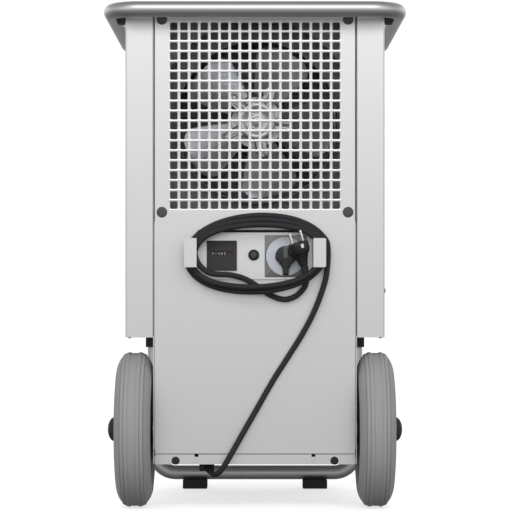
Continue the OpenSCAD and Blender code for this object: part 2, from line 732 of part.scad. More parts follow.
// The block clamps the cord under the base; its boot points back and slightly down.
module cord_gland() color(black_c) at_rear() {
    boot_end = place(lead_route[0]);
    boot_dir = unit(place(lead_start));
    boot_l = 24;
    block([-90, 34, 58], [-66, 58, body_bottom + 2]);
    translate(boot_end - boot_l * boot_dir)
        rotate([0, acos(boot_dir.z), atan2(boot_dir.y, boot_dir.x)]) cylinder(h = boot_l, r1 = 7.4, r2 = 5.4);
}

// Places its children on the plug's axis, which starts where the cord ends.
module on_plug() {
    dir = unit(place(plug_axis));
    at_rear() translate(place(plug_base)) rotate([0, acos(dir.z), atan2(dir.y, dir.x)]) children();
}

module plug_body() color(black_c) on_plug() rotate_extrude() polygon([
    [0, 0], [5.6, 0], [6.6, plug_tail_l], [8.6, plug_tail_l + 3], [10.6, plug_tail_l + plug_grip_l - 4],
    [13, plug_tail_l + plug_grip_l], [plug_head_r - 0.8, plug_tail_l + plug_grip_l + 4],
    [plug_head_r, plug_tail_l + plug_grip_l + 8], [plug_head_r, plug_tail_l + plug_grip_l + plug_head_l],
    [0, plug_tail_l + plug_grip_l + plug_head_l]
]);

module plug_pins() color(tube_c) on_plug() for (s = [-1, 1]) rotate([0, 0, pin_roll])
    translate([s * pin_spacing / 2, 0, plug_tail_l + plug_grip_l + plug_head_l]) cylinder(h = pin_l, r = pin_r);

// ---- Nodes ----

rear_panel();
rear_base_strip();
front_panel();
side_panel_left();
side_panel_right();
casing_left();
casing_right();
top_cover();
base_plate();
drip_tray();
handle_ring();
ring_blocks();
panel_caps();
casing_screws();
front_frame();
frame_clamps();
feet();
axle();
axle_brackets();
tyre_left();
rim_left();
bush_left();
hub_cap_left();
tyre_right();
rim_right();
bush_right();
hub_cap_right();
fan_shroud();
fan_motor();
motor_bracket();
fan_spider();
fan_blades();
evaporator();
condenser();
refrigerant_lines();
compressor();
compressor_mounts();
filter_drier();
solenoid_valve();
water_tank();
tank_handle();
tank_float();
filter_frame();
filter_mesh();
electrical_box();
run_capacitor();
control_plate();
cord_hooks();
plate_gasket();
hour_meter();
reset_housing();
reset_button();
dial_scale();
dial_knob();
cord_gland();
cord_lead();
cord_winding();
cord_tail();
plug_body();
plug_pins();
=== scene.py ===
"""A mobile commercial dehumidifier: finished pieces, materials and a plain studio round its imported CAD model.

The script is laid out as an add-on. Every piece is a surface worked out from a formula, in metres, in the frame of
the CAD model: +Z up, -Y the service side, the floor at Z = 0.
"""
import json
import math

import bmesh
import bpy
import numpy as np
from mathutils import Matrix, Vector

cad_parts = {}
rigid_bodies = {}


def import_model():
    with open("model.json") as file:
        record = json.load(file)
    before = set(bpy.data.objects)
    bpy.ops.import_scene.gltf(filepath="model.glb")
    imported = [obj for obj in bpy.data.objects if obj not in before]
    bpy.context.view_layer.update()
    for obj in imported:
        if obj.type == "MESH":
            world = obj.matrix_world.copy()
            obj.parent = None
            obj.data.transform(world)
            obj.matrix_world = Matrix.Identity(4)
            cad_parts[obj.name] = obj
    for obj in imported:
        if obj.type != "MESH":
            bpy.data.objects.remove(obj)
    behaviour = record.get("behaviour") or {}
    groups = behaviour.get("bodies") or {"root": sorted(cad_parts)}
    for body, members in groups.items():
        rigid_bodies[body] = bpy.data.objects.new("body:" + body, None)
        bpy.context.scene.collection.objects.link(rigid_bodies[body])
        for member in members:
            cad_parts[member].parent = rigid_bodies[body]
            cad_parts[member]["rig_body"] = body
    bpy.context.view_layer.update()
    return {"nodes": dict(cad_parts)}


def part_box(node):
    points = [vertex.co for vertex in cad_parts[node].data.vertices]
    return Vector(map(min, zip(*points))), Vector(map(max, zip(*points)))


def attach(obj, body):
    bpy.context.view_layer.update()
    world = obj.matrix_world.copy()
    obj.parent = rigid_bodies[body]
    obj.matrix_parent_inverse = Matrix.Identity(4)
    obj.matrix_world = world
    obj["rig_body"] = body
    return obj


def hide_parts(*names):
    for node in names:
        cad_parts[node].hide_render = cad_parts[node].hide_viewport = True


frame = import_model()

bl_info = {
    "name": "Mobile dehumidifier",
    "version": (1, 0, 0),
    "blender": (4, 5, 0),
    "location": "View3D > Sidebar > Dehumidifier",
    "description": "Finished pieces, materials and a plain studio for the packed dehumidifier",
    "category": "Object",
}

MM = 0.001
NODES = frame["nodes"]
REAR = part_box("rear_panel")[0].y


# ---- Surfaces: each is (points, [arrays of faces]) ----

def quads(rows, columns):
    """Faces of a grid of rows by columns points, in row order."""
    i, j = np.meshgrid(np.arange(rows - 1), np.arange(columns - 1), indexing="ij")
    a = (i * columns + j).ravel()
    return np.stack([a, a + 1, a + columns + 1, a + columns], axis=1)


def grid(points):
    """A surface through a (rows, columns, 3) array of points."""
    return points.reshape(-1, 3), [quads(points.shape[0], points.shape[1])]


def joined(*surfaces):
    """Several surfaces as one."""
    points, faces, count = [], [], 0
    for vertices, groups in surfaces:
        points.append(vertices)
        faces += [group + count for group in groups]
        count += len(vertices)
    return np.concatenate(points), faces


def unit(v):
    """Vectors of length one, along the last axis."""
    v = np.asarray(v, float)
    return v / np.linalg.norm(v, axis=-1, keepdims=True)


def axes_of(direction):
    """Two directions at right angles to the given one and to each other."""
    a = unit(direction)
    helper = np.array([0.0, 0.0, 1.0]) if abs(a[2]) < 0.9 else np.array([1.0, 0.0, 0.0])
    u = unit(np.cross(a, helper))
    return u, np.cross(a, u)


def lathe(profile, origin, direction, steps=64, shape=None):
    """A profile of (radius, distance along the axis) turned about an axis: origin + d a + r (cos t u + sin t v).

    shape, if given, scales the radius as a function of the angle t and the distance d.
    """
    profile = np.asarray(profile, float)
    a, (u, v) = unit(direction), axes_of(direction)
    t = np.linspace(0, 2 * math.pi, steps + 1)
    t[-1] = 0
    r = profile[:, :1] * (1 if shape is None else shape(t[None, :], profile[:, 1:]))
    r = r * np.ones((1, steps + 1))
    round_part = r[..., None] * (np.cos(t)[None, :, None] * u + np.sin(t)[None, :, None] * v)
    return grid(np.asarray(origin, float) + profile[:, 1][:, None, None] * a + round_part)


def tube(path, radius, reference, sides=16):
    """A round tube on a path, its ends closed; reference is a direction, or one for each point, never along it.

    Returns the surface and its UV: length along the path, and distance round it.
    """
    path = np.asarray(path, float)
    tangent = unit(np.gradient(path, axis=0))
    reference = np.broadcast_to(np.asarray(reference, float), path.shape)
    u = unit(reference - (reference * tangent).sum(1, keepdims=True) * tangent)
    v = np.cross(tangent, u)
    t = np.linspace(0, 2 * math.pi, sides + 1)
    ring = np.cos(t)[None, :, None] * u[:, None] + np.sin(t)[None, :, None] * v[:, None]
    ring[:, -1] = ring[:, 0]
    r = np.concatenate([[0], np.broadcast_to(radius, len(path)), [0]])
    index = np.concatenate([[0], np.arange(len(path)), [len(path) - 1]])
    points = path[index][:, None] + r[:, None, None] * ring[index]
    along = np.concatenate([[0], np.cumsum(np.linalg.norm(np.diff(path, axis=0), axis=1))])[index]
    uv = np.stack(np.broadcast_arrays(along[:, None], t[None, :] * np.max(r)), axis=-1)
    return grid(points), uv.reshape(-1, 2)


def loop_tube(path, radius, reference, sides=24):
    """A round tube on a closed path whose last point is its first; returns the surface and its UV."""
    path = np.asarray(path, float)
    ahead = np.concatenate([path[1:], path[1:2]])
    behind = np.concatenate([path[-2:-1], path[:-1]])
    tangent = unit(ahead - behind)
    u = unit(np.asarray(reference, float) - (tangent @ np.asarray(reference, float))[:, None] * tangent)
    v = np.cross(tangent, u)
    t = np.linspace(0, 2 * math.pi, sides + 1)
    t_round = np.concatenate([t[:-1], t[:1]])
    ring = np.cos(t_round)[None, :, None] * u[:, None] + np.sin(t_round)[None, :, None] * v[:, None]
    points = path[:, None] + radius * ring
    points[-1] = points[0]
    along = np.concatenate([[0], np.cumsum(np.linalg.norm(np.diff(path, axis=0), axis=1))])
    uv = np.stack(np.broadcast_arrays(along[:, None], t[None, :] * radius), axis=-1)
    return grid(points), uv.reshape(-1, 2)


def bent(corners, bend, closed=False, steps=12):
    """Points of a line through corners, each corner rounded to a bend radius by an arc."""
    corners = [np.asarray(c, float) for c in corners]
    count = len(corners)
    points = [] if closed else [corners[0]]
    for k in (range(count) if closed else range(1, count - 1)):
        here, back, on = corners[k], unit(corners[k - 1] - corners[k]), unit(corners[(k + 1) % count] - corners[k])
        half = math.acos(float(np.clip(back @ on, -1, 1))) / 2
        centre = here + unit(back + on) * bend / math.sin(half)
        reach = bend / math.tan(half)
        start, end = here + back * reach - centre, here + on * reach - centre
        t = np.linspace(0, 1, steps)[:, None]
        turn = math.pi - 2 * half
        arc = (np.sin((1 - t) * turn) * start + np.sin(t * turn) * end) / math.sin(turn)
        points += list(centre + arc)
    points += [points[0]] if closed else [corners[-1]]
    return np.array(points)


def dense(path, step):
    """The same line with points no further apart than step."""
    parts = []
    for a, b in zip(path[:-1], path[1:]):
        n = max(1, int(math.ceil(np.linalg.norm(b - a) / step)))
        parts.append(a + (b - a) * (np.arange(n) / n)[:, None])
    return np.concatenate(parts + [path[-1:]])


def flowing(points, first, last, steps):
    """A smooth curve through points: cubic spans whose end slopes are unit directions times the span's length."""
    points = np.asarray(points, float)
    slope = np.empty_like(points)
    slope[1:-1] = unit(points[2:] - points[:-2])
    slope[0], slope[-1] = unit(first), unit(last)
    span = np.linalg.norm(np.diff(points, axis=0), axis=1)[:, None, None]
    t = (np.arange(steps) / steps)[None, :, None]
    curve = ((2 * t**3 - 3 * t**2 + 1) * points[:-1, None] + (t**3 - 2 * t**2 + t) * span * slope[:-1, None]
             + (3 * t**2 - 2 * t**3) * points[1:, None] + (t**3 - t**2) * span * slope[1:, None])
    return np.concatenate([curve.reshape(-1, 3), points[-1:]])


def slab(outline, y0, y1, edge):
    """A flat plate from an outline of (x, z) points, from depth y0 (outer face) to y1, its outer edge rounded.

    Each ring of points is the outline drawn towards its middle by the edge's quarter circle.
    """
    outline = np.asarray(outline, float)
    outline = np.concatenate([outline, outline[:1]])
    ahead, behind = np.roll(outline[:-1], -1, axis=0), np.roll(outline[:-1], 1, axis=0)
    along = unit(ahead - behind)
    inward = np.stack([-along[:, 1], along[:, 0]], axis=1)
    middle = outline[:-1].mean(0)
    if ((middle - outline[:-1]) * inward).sum() < 0:
        inward = -inward
    inward = np.concatenate([inward, inward[:1]])
    side = math.copysign(1, y1 - y0)
    t = np.linspace(0, math.pi / 2, 5)
    rings = [(edge * (1 - math.cos(a)), y0 + side * edge * (1 - math.sin(a))) for a in t[::-1]]
    rings = sorted(rings, key=lambda item: side * item[1]) + [(0.0, y1)]
    points = [np.column_stack([outline[:, 0] + inset * inward[:, 0], np.full(len(outline), y),
                               outline[:, 1] + inset * inward[:, 1]]) for inset, y in rings]
    front, back = np.array([middle[0], y0, middle[1]]), np.array([middle[0], y1, middle[1]])
    points = [np.broadcast_to(front, points[0].shape)] + points + [np.broadcast_to(back, points[0].shape)]
    return grid(np.array(points))


def round_rectangle(centre, half, radius, steps=6):
    """Outline of a rectangle with round corners, anticlockwise from the right."""
    t = np.linspace(0, math.pi / 2, steps)
    corners = []
    for sx, sz, start in ((1, 1, 0), (-1, 1, 1), (-1, -1, 2), (1, -1, 3)):
        a = t + start * math.pi / 2
        corners.append(np.column_stack([centre[0] + sx * (half[0] - radius) + radius * np.cos(a),
                                        centre[1] + sz * (half[1] - radius) + radius * np.sin(a)]))
    return np.concatenate(corners)


# ---- Finishes ----

class Finish:
    """A material under construction: its principled shader, and what is wired into it."""

    def __init__(self, name, color, roughness, metallic=0.0, **sockets):
        self.material = bpy.data.materials.new(name)
        self.material.use_nodes = True
        self.tree = self.material.node_tree
        self.shader = self.tree.nodes["Principled BSDF"]
        self.color, self.roughness = color, roughness
        self.shader.inputs["Base Color"].default_value = (*color, 1)
        self.shader.inputs["Roughness"].default_value = roughness
        self.shader.inputs["Metallic"].default_value = metallic
        for socket, value in sockets.items():
            self.shader.inputs[socket.replace("_", " ")].default_value = value
        self.material.diffuse_color = (*color, 1)

    def node(self, kind, **values):
        """A node with some of its input sockets set, by name."""
        made = self.tree.nodes.new(kind)
        for key, value in values.items():
            made.inputs[key].default_value = value
        return made

    def coordinates(self, stretch=(1, 1, 1), source="Object"):
        """Object or UV coordinates, stretched along the axes."""
        texture = self.tree.nodes.new("ShaderNodeTexCoord")
        mapping = self.node("ShaderNodeMapping", Scale=stretch)
        self.tree.links.new(texture.outputs[source], mapping.inputs["Vector"])
        return mapping.outputs["Vector"]

    def noise(self, scale, detail=3.0, stretch=(1, 1, 1), source="Object"):
        """Cloudy noise; scale is in features per metre."""
        noise = self.node("ShaderNodeTexNoise", Scale=scale, Detail=detail)
        self.tree.links.new(self.coordinates(stretch, source), noise.inputs["Vector"])
        return noise.outputs["Fac"]

    def cells(self, scale, stretch=(1, 1, 1)):
        """Distance to the nearest of scattered points."""
        cells = self.node("ShaderNodeTexVoronoi", Scale=scale)
        self.tree.links.new(self.coordinates(stretch), cells.inputs["Vector"])
        return cells.outputs["Distance"]

    def spread(self, value, low, high, start=0.3, end=0.7):
        """A value between start and end taken to the range low to high."""
        spread = self.tree.nodes.new("ShaderNodeMapRange")
        for key, number in (("From Min", start), ("From Max", end), ("To Min", low), ("To Max", high)):
            spread.inputs[key].default_value = number
        self.tree.links.new(value, spread.inputs["Value"])
        return spread.outputs["Result"]

    def tint(self, value, dark, light):
        """Base colour between dark and light shades of the finish's own colour."""
        mix = self.tree.nodes.new("ShaderNodeMix")
        mix.data_type = "RGBA"
        self.tree.links.new(value, mix.inputs["Factor"])
        for socket, shade in ((mix.inputs[6], dark), (mix.inputs[7], light)):
            socket.default_value = (*[min(1.0, c * shade) for c in self.color], 1)
        self.tree.links.new(mix.outputs[2], self.shader.inputs["Base Color"])
        return self

    def worn(self, value, low, high):
        """Roughness that varies between low and high."""
        self.tree.links.new(self.spread(value, low, high), self.shader.inputs["Roughness"])
        return self

    def bump(self, value, height, strength=1.0):
        """Relief of a height in metres; further bumps add to the ones before."""
        bump = self.node("ShaderNodeBump", Strength=strength, Distance=height)
        self.tree.links.new(value, bump.inputs["Height"])
        normal = self.shader.inputs["Normal"]
        if normal.links:
            self.tree.links.new(normal.links[0].from_socket, bump.inputs["Normal"])
        self.tree.links.new(bump.outputs["Normal"], normal)
        return self


def sheet_steel():
    """Stainless sheet: satin, with a very fine grain, faint clouds and handling marks."""
    made = Finish("sheet_steel", (0.70, 0.70, 0.705), 0.42, metallic=1.0)
    made.tint(made.spread(made.noise(9, 4), 0, 1), 0.94, 1.03)
    made.worn(made.noise(30, 5), 0.36, 0.50)
    made.bump(made.noise(1500, 2), 0.00002, 0.25)
    return made.bump(made.noise(14, 2), 0.0006, 0.06).material


def polished_tube():
    """Ground and polished tube: streaks along its length."""
    made = Finish("tube_steel", (0.60, 0.60, 0.61), 0.2, metallic=1.0)
    made.tint(made.spread(made.noise(1, 3, (6, 400, 1), "UV"), 0, 1), 0.88, 1.06)
    made.worn(made.noise(1, 4, (20, 700, 1), "UV"), 0.15, 0.27)
    return made.bump(made.noise(1, 2, (30, 1600, 1), "UV"), 0.00001, 0.3).material


def dull_tube():
    """The same steel on solid parts: turned ends and the axle."""
    made = Finish("turned_steel", (0.50, 0.50, 0.51), 0.3, metallic=1.0)
    made.worn(made.noise(120, 4, (1, 8, 8)), 0.24, 0.4)
    return made.bump(made.noise(900, 2, (0.1, 1, 1)), 0.00001, 0.3).material


def dark_steel():
    """Grey-coated steel of the shroud and electrical box; its base colour is taken near black, partly the dark coating
    and partly painted shade of the shroud's interior behind the grille.
    """
    made = Finish("dark_steel", (0.045, 0.045, 0.047), 0.5)
    made.tint(made.spread(made.noise(25, 4), 0, 1), 0.85, 1.15)
    made.worn(made.noise(60, 3), 0.42, 0.6)
    return made.bump(made.noise(1100, 2), 0.00003, 0.3).material


def black_steel():
    """Black semi-gloss enamel with orange peel."""
    made = Finish("black_steel", (0.012, 0.012, 0.013), 0.3)
    made.tint(made.spread(made.noise(40, 3), 0, 1), 0.8, 1.6)
    made.worn(made.noise(50, 3), 0.24, 0.4)
    return made.bump(made.noise(420, 2), 0.00006, 0.3).material


def black_plastic():
    """Moulded black plastic with a spark-eroded grain."""
    made = Finish("black_plastic", (0.014, 0.014, 0.015), 0.45)
    made.tint(made.spread(made.noise(35, 4), 0, 1), 0.8, 1.5)
    made.worn(made.noise(90, 3), 0.38, 0.55)
    return made.bump(made.cells(1700), 0.00003, 0.35).material


def grey_plastic():
    """Dark grey plastic of the caps and the reset button."""
    made = Finish("grey_plastic", (0.062, 0.062, 0.063), 0.5)
    made.tint(made.spread(made.noise(60, 3), 0, 1), 0.85, 1.15)
    made.worn(made.noise(120, 3), 0.42, 0.6)
    return made.bump(made.cells(1900), 0.00002, 0.3).material


def white_plastic():
    """Nylon of the wheel bushes."""
    made = Finish("white_plastic", (0.72, 0.71, 0.68), 0.4, Subsurface_Weight=0.1)
    made.tint(made.spread(made.noise(80, 3), 0, 1), 0.93, 1.0)
    return made.bump(made.noise(800, 2), 0.00002, 0.3).material


def black_rubber():
    """Feet, mounts and seal: matt with a bloom of dust."""
    made = Finish("black_rubber", (0.014, 0.013, 0.016), 0.62)
    made.tint(made.spread(made.noise(45, 5), 0, 1), 0.8, 2.0)
    made.worn(made.noise(80, 3), 0.5, 0.75)
    return made.bump(made.noise(700, 3), 0.00006, 0.4).material


def grey_tyre():
    """Non-marking grey tyre: matt, mottled, a little scuffed where it rolls."""
    made = Finish("grey_tyre", (0.55, 0.55, 0.55), 0.72)
    made.tint(made.spread(made.noise(26, 6), 0, 1), 0.80, 1.08)
    made.worn(made.noise(90, 4), 0.62, 0.85)
    made.bump(made.noise(600, 3), 0.00008, 0.5)
    return made.bump(made.noise(60, 3, (1, 0.2, 0.2)), 0.0003, 0.25).material


def bright_aluminium():
    """Pressed bright aluminium of the fan's hub and motor."""
    made = Finish("cast_aluminium", (0.86, 0.87, 0.90), 0.18, metallic=1.0)
    made.tint(made.spread(made.noise(60, 4), 0, 1), 0.82, 1.05)
    made.worn(made.noise(160, 3), 0.12, 0.3)
    return made.bump(made.noise(380, 3), 0.00012, 0.35).material


def blade_aluminium():
    """Mill-finished sheet of the fan blades; its base colour is darkened far below bare aluminium as painted shade of
    the fan's place behind the grille.
    """
    made = Finish("blade_aluminium", (0.20, 0.205, 0.22), 0.34, metallic=1.0)
    made.tint(made.spread(made.noise(18, 4), 0, 1), 0.8, 1.15)
    made.worn(made.noise(40, 4, (1, 1, 7)), 0.26, 0.46)
    return made.bump(made.noise(500, 2, (1, 1, 9)), 0.00002, 0.3).material


def fin_aluminium():
    """Thin bare fins, with a little oxide."""
    made = Finish("fin_aluminium", (0.60, 0.61, 0.63), 0.4, metallic=1.0)
    made.tint(made.spread(made.noise(22, 5), 0, 1), 0.75, 1.1)
    return made.bump(made.noise(900, 2), 0.00002, 0.3).material


def copper():
    """Drawn copper tube with tarnish."""
    made = Finish("copper", (0.70, 0.34, 0.20), 0.3, metallic=1.0)
    made.tint(made.spread(made.noise(45, 6), 0, 1), 0.5, 1.1)
    made.worn(made.noise(70, 4), 0.22, 0.5)
    return made.bump(made.noise(600, 2), 0.00003, 0.3).material


def brass():
    """Machined brass."""
    made = Finish("brass", (0.70, 0.52, 0.22), 0.28, metallic=1.0)
    made.worn(made.noise(150, 3), 0.2, 0.42)
    return made.bump(made.noise(900, 2, (1, 1, 6)), 0.00001, 0.3).material


def tank_plastic():
    """Light grey tank, slightly see-through."""
    made = Finish("tank_plastic", (0.62, 0.63, 0.64), 0.34, Subsurface_Weight=0.15)
    made.tint(made.spread(made.noise(12, 3), 0, 1), 0.95, 1.02)
    made.worn(made.noise(60, 4), 0.28, 0.42)
    return made.bump(made.cells(1300), 0.00002, 0.25).material


def float_plastic():
    """Orange float."""
    made = Finish("float_plastic", (0.75, 0.22, 0.03), 0.4)
    made.tint(made.spread(made.noise(60, 4), 0, 1), 0.85, 1.05)
    return made.bump(made.noise(500, 2), 0.00003, 0.3).material


def filter_fabric():
    """Open-cell foam: deep pores between thin walls."""
    made = Finish("filter_fabric", (0.075, 0.075, 0.08), 0.95)
    pores = made.cells(420)
    made.tint(made.spread(pores, 1, 0, 0.0, 0.8), 0.25, 1.3)
    return made.bump(pores, 0.0012, 0.9).material


def meter_plastic():
    """Dark instrument housing with a fine texture."""
    made = Finish("meter_plastic", (0.040, 0.040, 0.041), 0.55)
    made.tint(made.spread(made.noise(70, 3), 0, 1), 0.85, 1.2)
    return made.bump(made.cells(2400), 0.00003, 0.4).material


def dial_plastic():
    """Pale glossy dial disc."""
    made = Finish("dial_plastic", (0.55, 0.59, 0.66), 0.16, Coat_Weight=0.3, Coat_Roughness=0.05)
    made.tint(made.spread(made.noise(30, 2), 0, 1), 0.97, 1.02)
    return made.bump(made.noise(300, 2), 0.00001, 0.2).material


def plate_grey():
    """Satin anodised plate behind the dial."""
    made = Finish("dial_plate", (0.24, 0.245, 0.245), 0.38, metallic=1.0)
    made.tint(made.spread(made.noise(20, 3), 0, 1), 0.9, 1.1)
    return made.bump(made.noise(900, 2, (0.15, 1, 1)), 0.00001, 0.3).material


def black_gloss():
    """Gloss black of the dial knob."""
    made = Finish("black_gloss", (0.003, 0.003, 0.005), 0.12, Specular_IOR_Level=0.22, Coat_Weight=0.08,
                  Coat_Roughness=0.04)
    made.worn(made.noise(60, 3), 0.08, 0.2)
    return made.bump(made.noise(260, 2), 0.00002, 0.15).material


def ridge_grey():
    """Grey pointer set into the knob."""
    made = Finish("knob_pointer", (0.16, 0.165, 0.165), 0.42)
    made.tint(made.spread(made.noise(90, 3), 0, 1), 0.9, 1.1)
    return made.bump(made.cells(2200), 0.00002, 0.2).material


def cord_rubber():
    """Rubber cord sheath: fine lines along its length, dulled by handling."""
    made = Finish("cord_rubber", (0.006, 0.006, 0.007), 0.52, Specular_IOR_Level=0.25)
    made.tint(made.spread(made.noise(1, 5, (60, 260, 1), "UV"), 0, 1), 0.75, 1.7)
    made.worn(made.noise(1, 4, (25, 120, 1), "UV"), 0.46, 0.64)
    made.bump(made.noise(1, 2, (40, 2600, 1), "UV"), 0.00004, 0.35)
    return made.bump(made.noise(1, 3, (900, 900, 1), "UV"), 0.00003, 0.3).material


def plug_rubber():
    """Moulded plug, smooth and semi-gloss."""
    made = Finish("plug_rubber", (0.004, 0.004, 0.006), 0.2, Specular_IOR_Level=0.3, Coat_Weight=0.12,
                  Coat_Roughness=0.1)
    made.worn(made.noise(90, 4), 0.14, 0.3)
    return made.bump(made.noise(420, 2), 0.00003, 0.2).material


def plated_pin():
    """Nickel-plated brass pins and earth clips."""
    made = Finish("plated_pin", (0.80, 0.77, 0.70), 0.16, metallic=1.0)
    made.worn(made.noise(400, 3, (1, 1, 0.2)), 0.1, 0.26)
    return made.bump(made.noise(1500, 2), 0.00001, 0.2).material


def digit_white():
    """Printed white digits."""
    made = Finish("digit_white", (0.75, 0.76, 0.78), 0.5)
    return made.tint(made.spread(made.noise(900, 2), 0, 1), 0.9, 1.0).material


def digit_red():
    """Printed red digits of the last two drums."""
    made = Finish("digit_red", (0.34, 0.035, 0.05), 0.5)
    return made.tint(made.spread(made.noise(900, 2), 0, 1), 0.9, 1.0).material


def shadow_black():
    """Dull black of a window's floor, and painted shadow for the thin dark ring round the dial disc."""
    made = Finish("drum_black_and_shadow", (0.004, 0.004, 0.006), 0.6)
    return made.tint(made.spread(made.noise(300, 2), 0, 1), 0.8, 1.3).material


FINISHES = {
    "sheet_steel": sheet_steel, "tube_steel": polished_tube, "turned_steel": dull_tube, "dark_steel": dark_steel,
    "black_steel": black_steel, "black_plastic": black_plastic, "grey_plastic": grey_plastic,
    "white_plastic": white_plastic, "black_rubber": black_rubber, "grey_tyre": grey_tyre,
    "cast_aluminium": bright_aluminium, "blade_aluminium": blade_aluminium, "fin_aluminium": fin_aluminium,
    "copper": copper, "brass": brass, "tank_plastic": tank_plastic, "float_plastic": float_plastic,
    "filter_fabric": filter_fabric, "meter_plastic": meter_plastic, "dial_plastic": dial_plastic,
    "dial_plate": plate_grey, "black_gloss": black_gloss, "knob_pointer": ridge_grey, "cord_rubber": cord_rubber,
    "plug_rubber": plug_rubber, "plated_pin": plated_pin, "digit_white": digit_white, "digit_red": digit_red,
    "drum_black_and_shadow": shadow_black,
}


def finish(name):
    """The material of that name, made once."""
    return bpy.data.materials.get(name) or FINISHES[name]()


# ---- Pieces ----

def place(made, material, body, stands_for):
    """Gives a finished object its material, its body and the CAD nodes it stands for."""
    made.data.materials.clear()
    made.data.materials.append(finish(material))
    bpy.context.scene.collection.objects.link(made)
    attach(made, body)
    if stands_for:
        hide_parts(*stands_for)
    return made


def piece(name, surface, material, body="machine", stands_for=(), angle=38, uv=None):
    """A closed surface as a finished piece: doubles merged, faces outwards, smooth but for edges past an angle."""
    points, faces = surface
    mesh = bpy.data.meshes.new(name)
    mesh.from_pydata(points.tolist(), [], [face for group in faces for face in group.tolist()])
    if uv is not None:
        corner = np.empty(len(mesh.loops), np.int32)
        mesh.loops.foreach_get("vertex_index", corner)
        mesh.uv_layers.new(name="UVMap").data.foreach_set("uv", uv[corner].astype(np.float32).ravel())
    shape = bmesh.new()
    shape.from_mesh(mesh)
    bmesh.ops.remove_doubles(shape, verts=shape.verts, dist=1e-6)
    bmesh.ops.recalc_face_normals(shape, faces=shape.faces)
    shape.to_mesh(mesh)
    shape.free()
    mesh.shade_smooth()
    mesh.set_sharp_from_angle(angle=math.radians(angle))
    return place(bpy.data.objects.new(name, mesh), material, body, stands_for)


def softened(node, material, width, segments=2):
    """The CAD node's own shape, its doubles merged and its sharp edges rounded over by width."""
    source = NODES[node]
    mesh = source.data.copy()
    mesh.name = node + "_finished"
    shape = bmesh.new()
    shape.from_mesh(mesh)
    bmesh.ops.remove_doubles(shape, verts=shape.verts, dist=2e-6)
    bmesh.ops.dissolve_limit(shape, angle_limit=math.radians(0.5), verts=shape.verts, edges=shape.edges)
    shape.to_mesh(mesh)
    shape.free()
    mesh.shade_smooth()
    made = bpy.data.objects.new(mesh.name, mesh)
    edge = made.modifiers.new("rounded_edges", "BEVEL")
    edge.width, edge.segments, edge.limit_method, edge.angle_limit = width, segments, "ANGLE", math.radians(35)
    edge.miter_outer = "MITER_ARC"
    made.modifiers.new("flat_faces", "WEIGHTED_NORMAL")
    return place(made, material, source["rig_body"], (node,))


def dress(material, *nodes):
    """Gives CAD nodes that keep their own shape their material."""
    for node in nodes:
        mesh = NODES[node].data
        if not mesh.materials:
            mesh.materials.append(None)
        for slot in NODES[node].material_slots:
            slot.material = finish(material)


def behind(x, d, z):
    """A point given across, behind the rear face and up, in millimetres, as a place in metres."""
    return np.array([x * MM, REAR - d * MM, z * MM])


# ---- Settings ----

class CordSettings(bpy.types.PropertyGroup):
    """Mains cord, its turns and its plug."""
    diameter: bpy.props.FloatProperty(name="Diameter", description="Diameter of the sheath", default=0.009,
                                      unit="LENGTH")
    turns: bpy.props.FloatProperty(name="Turns", description="Turns round the hooks before the loose loop",
                                   default=2.483)
    half_width: bpy.props.FloatProperty(name="Half width", description="Half the first turn's width",
                                        default=0.1147, unit="LENGTH")
    half_height: bpy.props.FloatProperty(name="Half height", description="Half the first turn's height",
                                         default=0.0647, unit="LENGTH")
    width_step: bpy.props.FloatProperty(name="Width step", description="How much narrower each turn is",
                                        default=0.0065, unit="LENGTH")
    height_step: bpy.props.FloatProperty(name="Height step", description="How much lower each turn is",
                                         default=0.00765, unit="LENGTH")
    bend: bpy.props.FloatProperty(name="Bend", description="Bend radius at the ends of the turns", default=0.038,
                                  unit="LENGTH")
    height: bpy.props.FloatProperty(name="Height", description="Height of the winding's centre", default=0.407,
                                    unit="LENGTH")


class SheetSettings(bpy.types.PropertyGroup):
    """Sheet-metal casing and its grille."""
    columns: bpy.props.IntProperty(name="Columns", description="Holes side by side", default=17)
    rows: bpy.props.IntProperty(name="Rows", description="Holes one above the other", default=19)
    hole: bpy.props.FloatProperty(name="Hole", description="Side of a hole", default=0.0116, unit="LENGTH")
    hole_corner: bpy.props.FloatProperty(name="Hole corner", description="Corner radius of a hole", default=0.0018,
                                         unit="LENGTH")
    pitch_x: bpy.props.FloatProperty(name="Pitch across", description="Distance between hole centres, across",
                                     default=0.01624, unit="LENGTH")
    pitch_z: bpy.props.FloatProperty(name="Pitch up", description="Distance between hole centres, upwards",
                                     default=0.0159, unit="LENGTH")
    grille_z: bpy.props.FloatProperty(name="Grille height", description="Height of the grille's centre",
                                      default=0.6297, unit="LENGTH")
    rim: bpy.props.FloatProperty(name="Rolled rim", description="Rounding of the holes' outer rims",
                                 default=0.0003, unit="LENGTH")
    edge: bpy.props.FloatProperty(name="Edge", description="Rounding of cut sheet edges", default=0.0004,
                                  unit="LENGTH")


class TubeSettings(bpy.types.PropertyGroup):
    """Handle ring and front frame."""
    ring_bend: bpy.props.FloatProperty(name="Ring bend", description="Bend radius of the ring's corners",
                                       default=0.045, unit="LENGTH")
    frame_bend: bpy.props.FloatProperty(name="Frame bend", description="Bend radius of the frame's corners",
                                        default=0.0375, unit="LENGTH")


class WheelSettings(bpy.types.PropertyGroup):
    """Tyres."""
    rib: bpy.props.FloatProperty(name="Rib", description="Half width of the sunken middle band", default=0.0062,
                                 unit="LENGTH")
    groove: bpy.props.FloatProperty(name="Groove", description="Depth of the grooves beside the ribs",
                                    default=0.0009, unit="LENGTH")


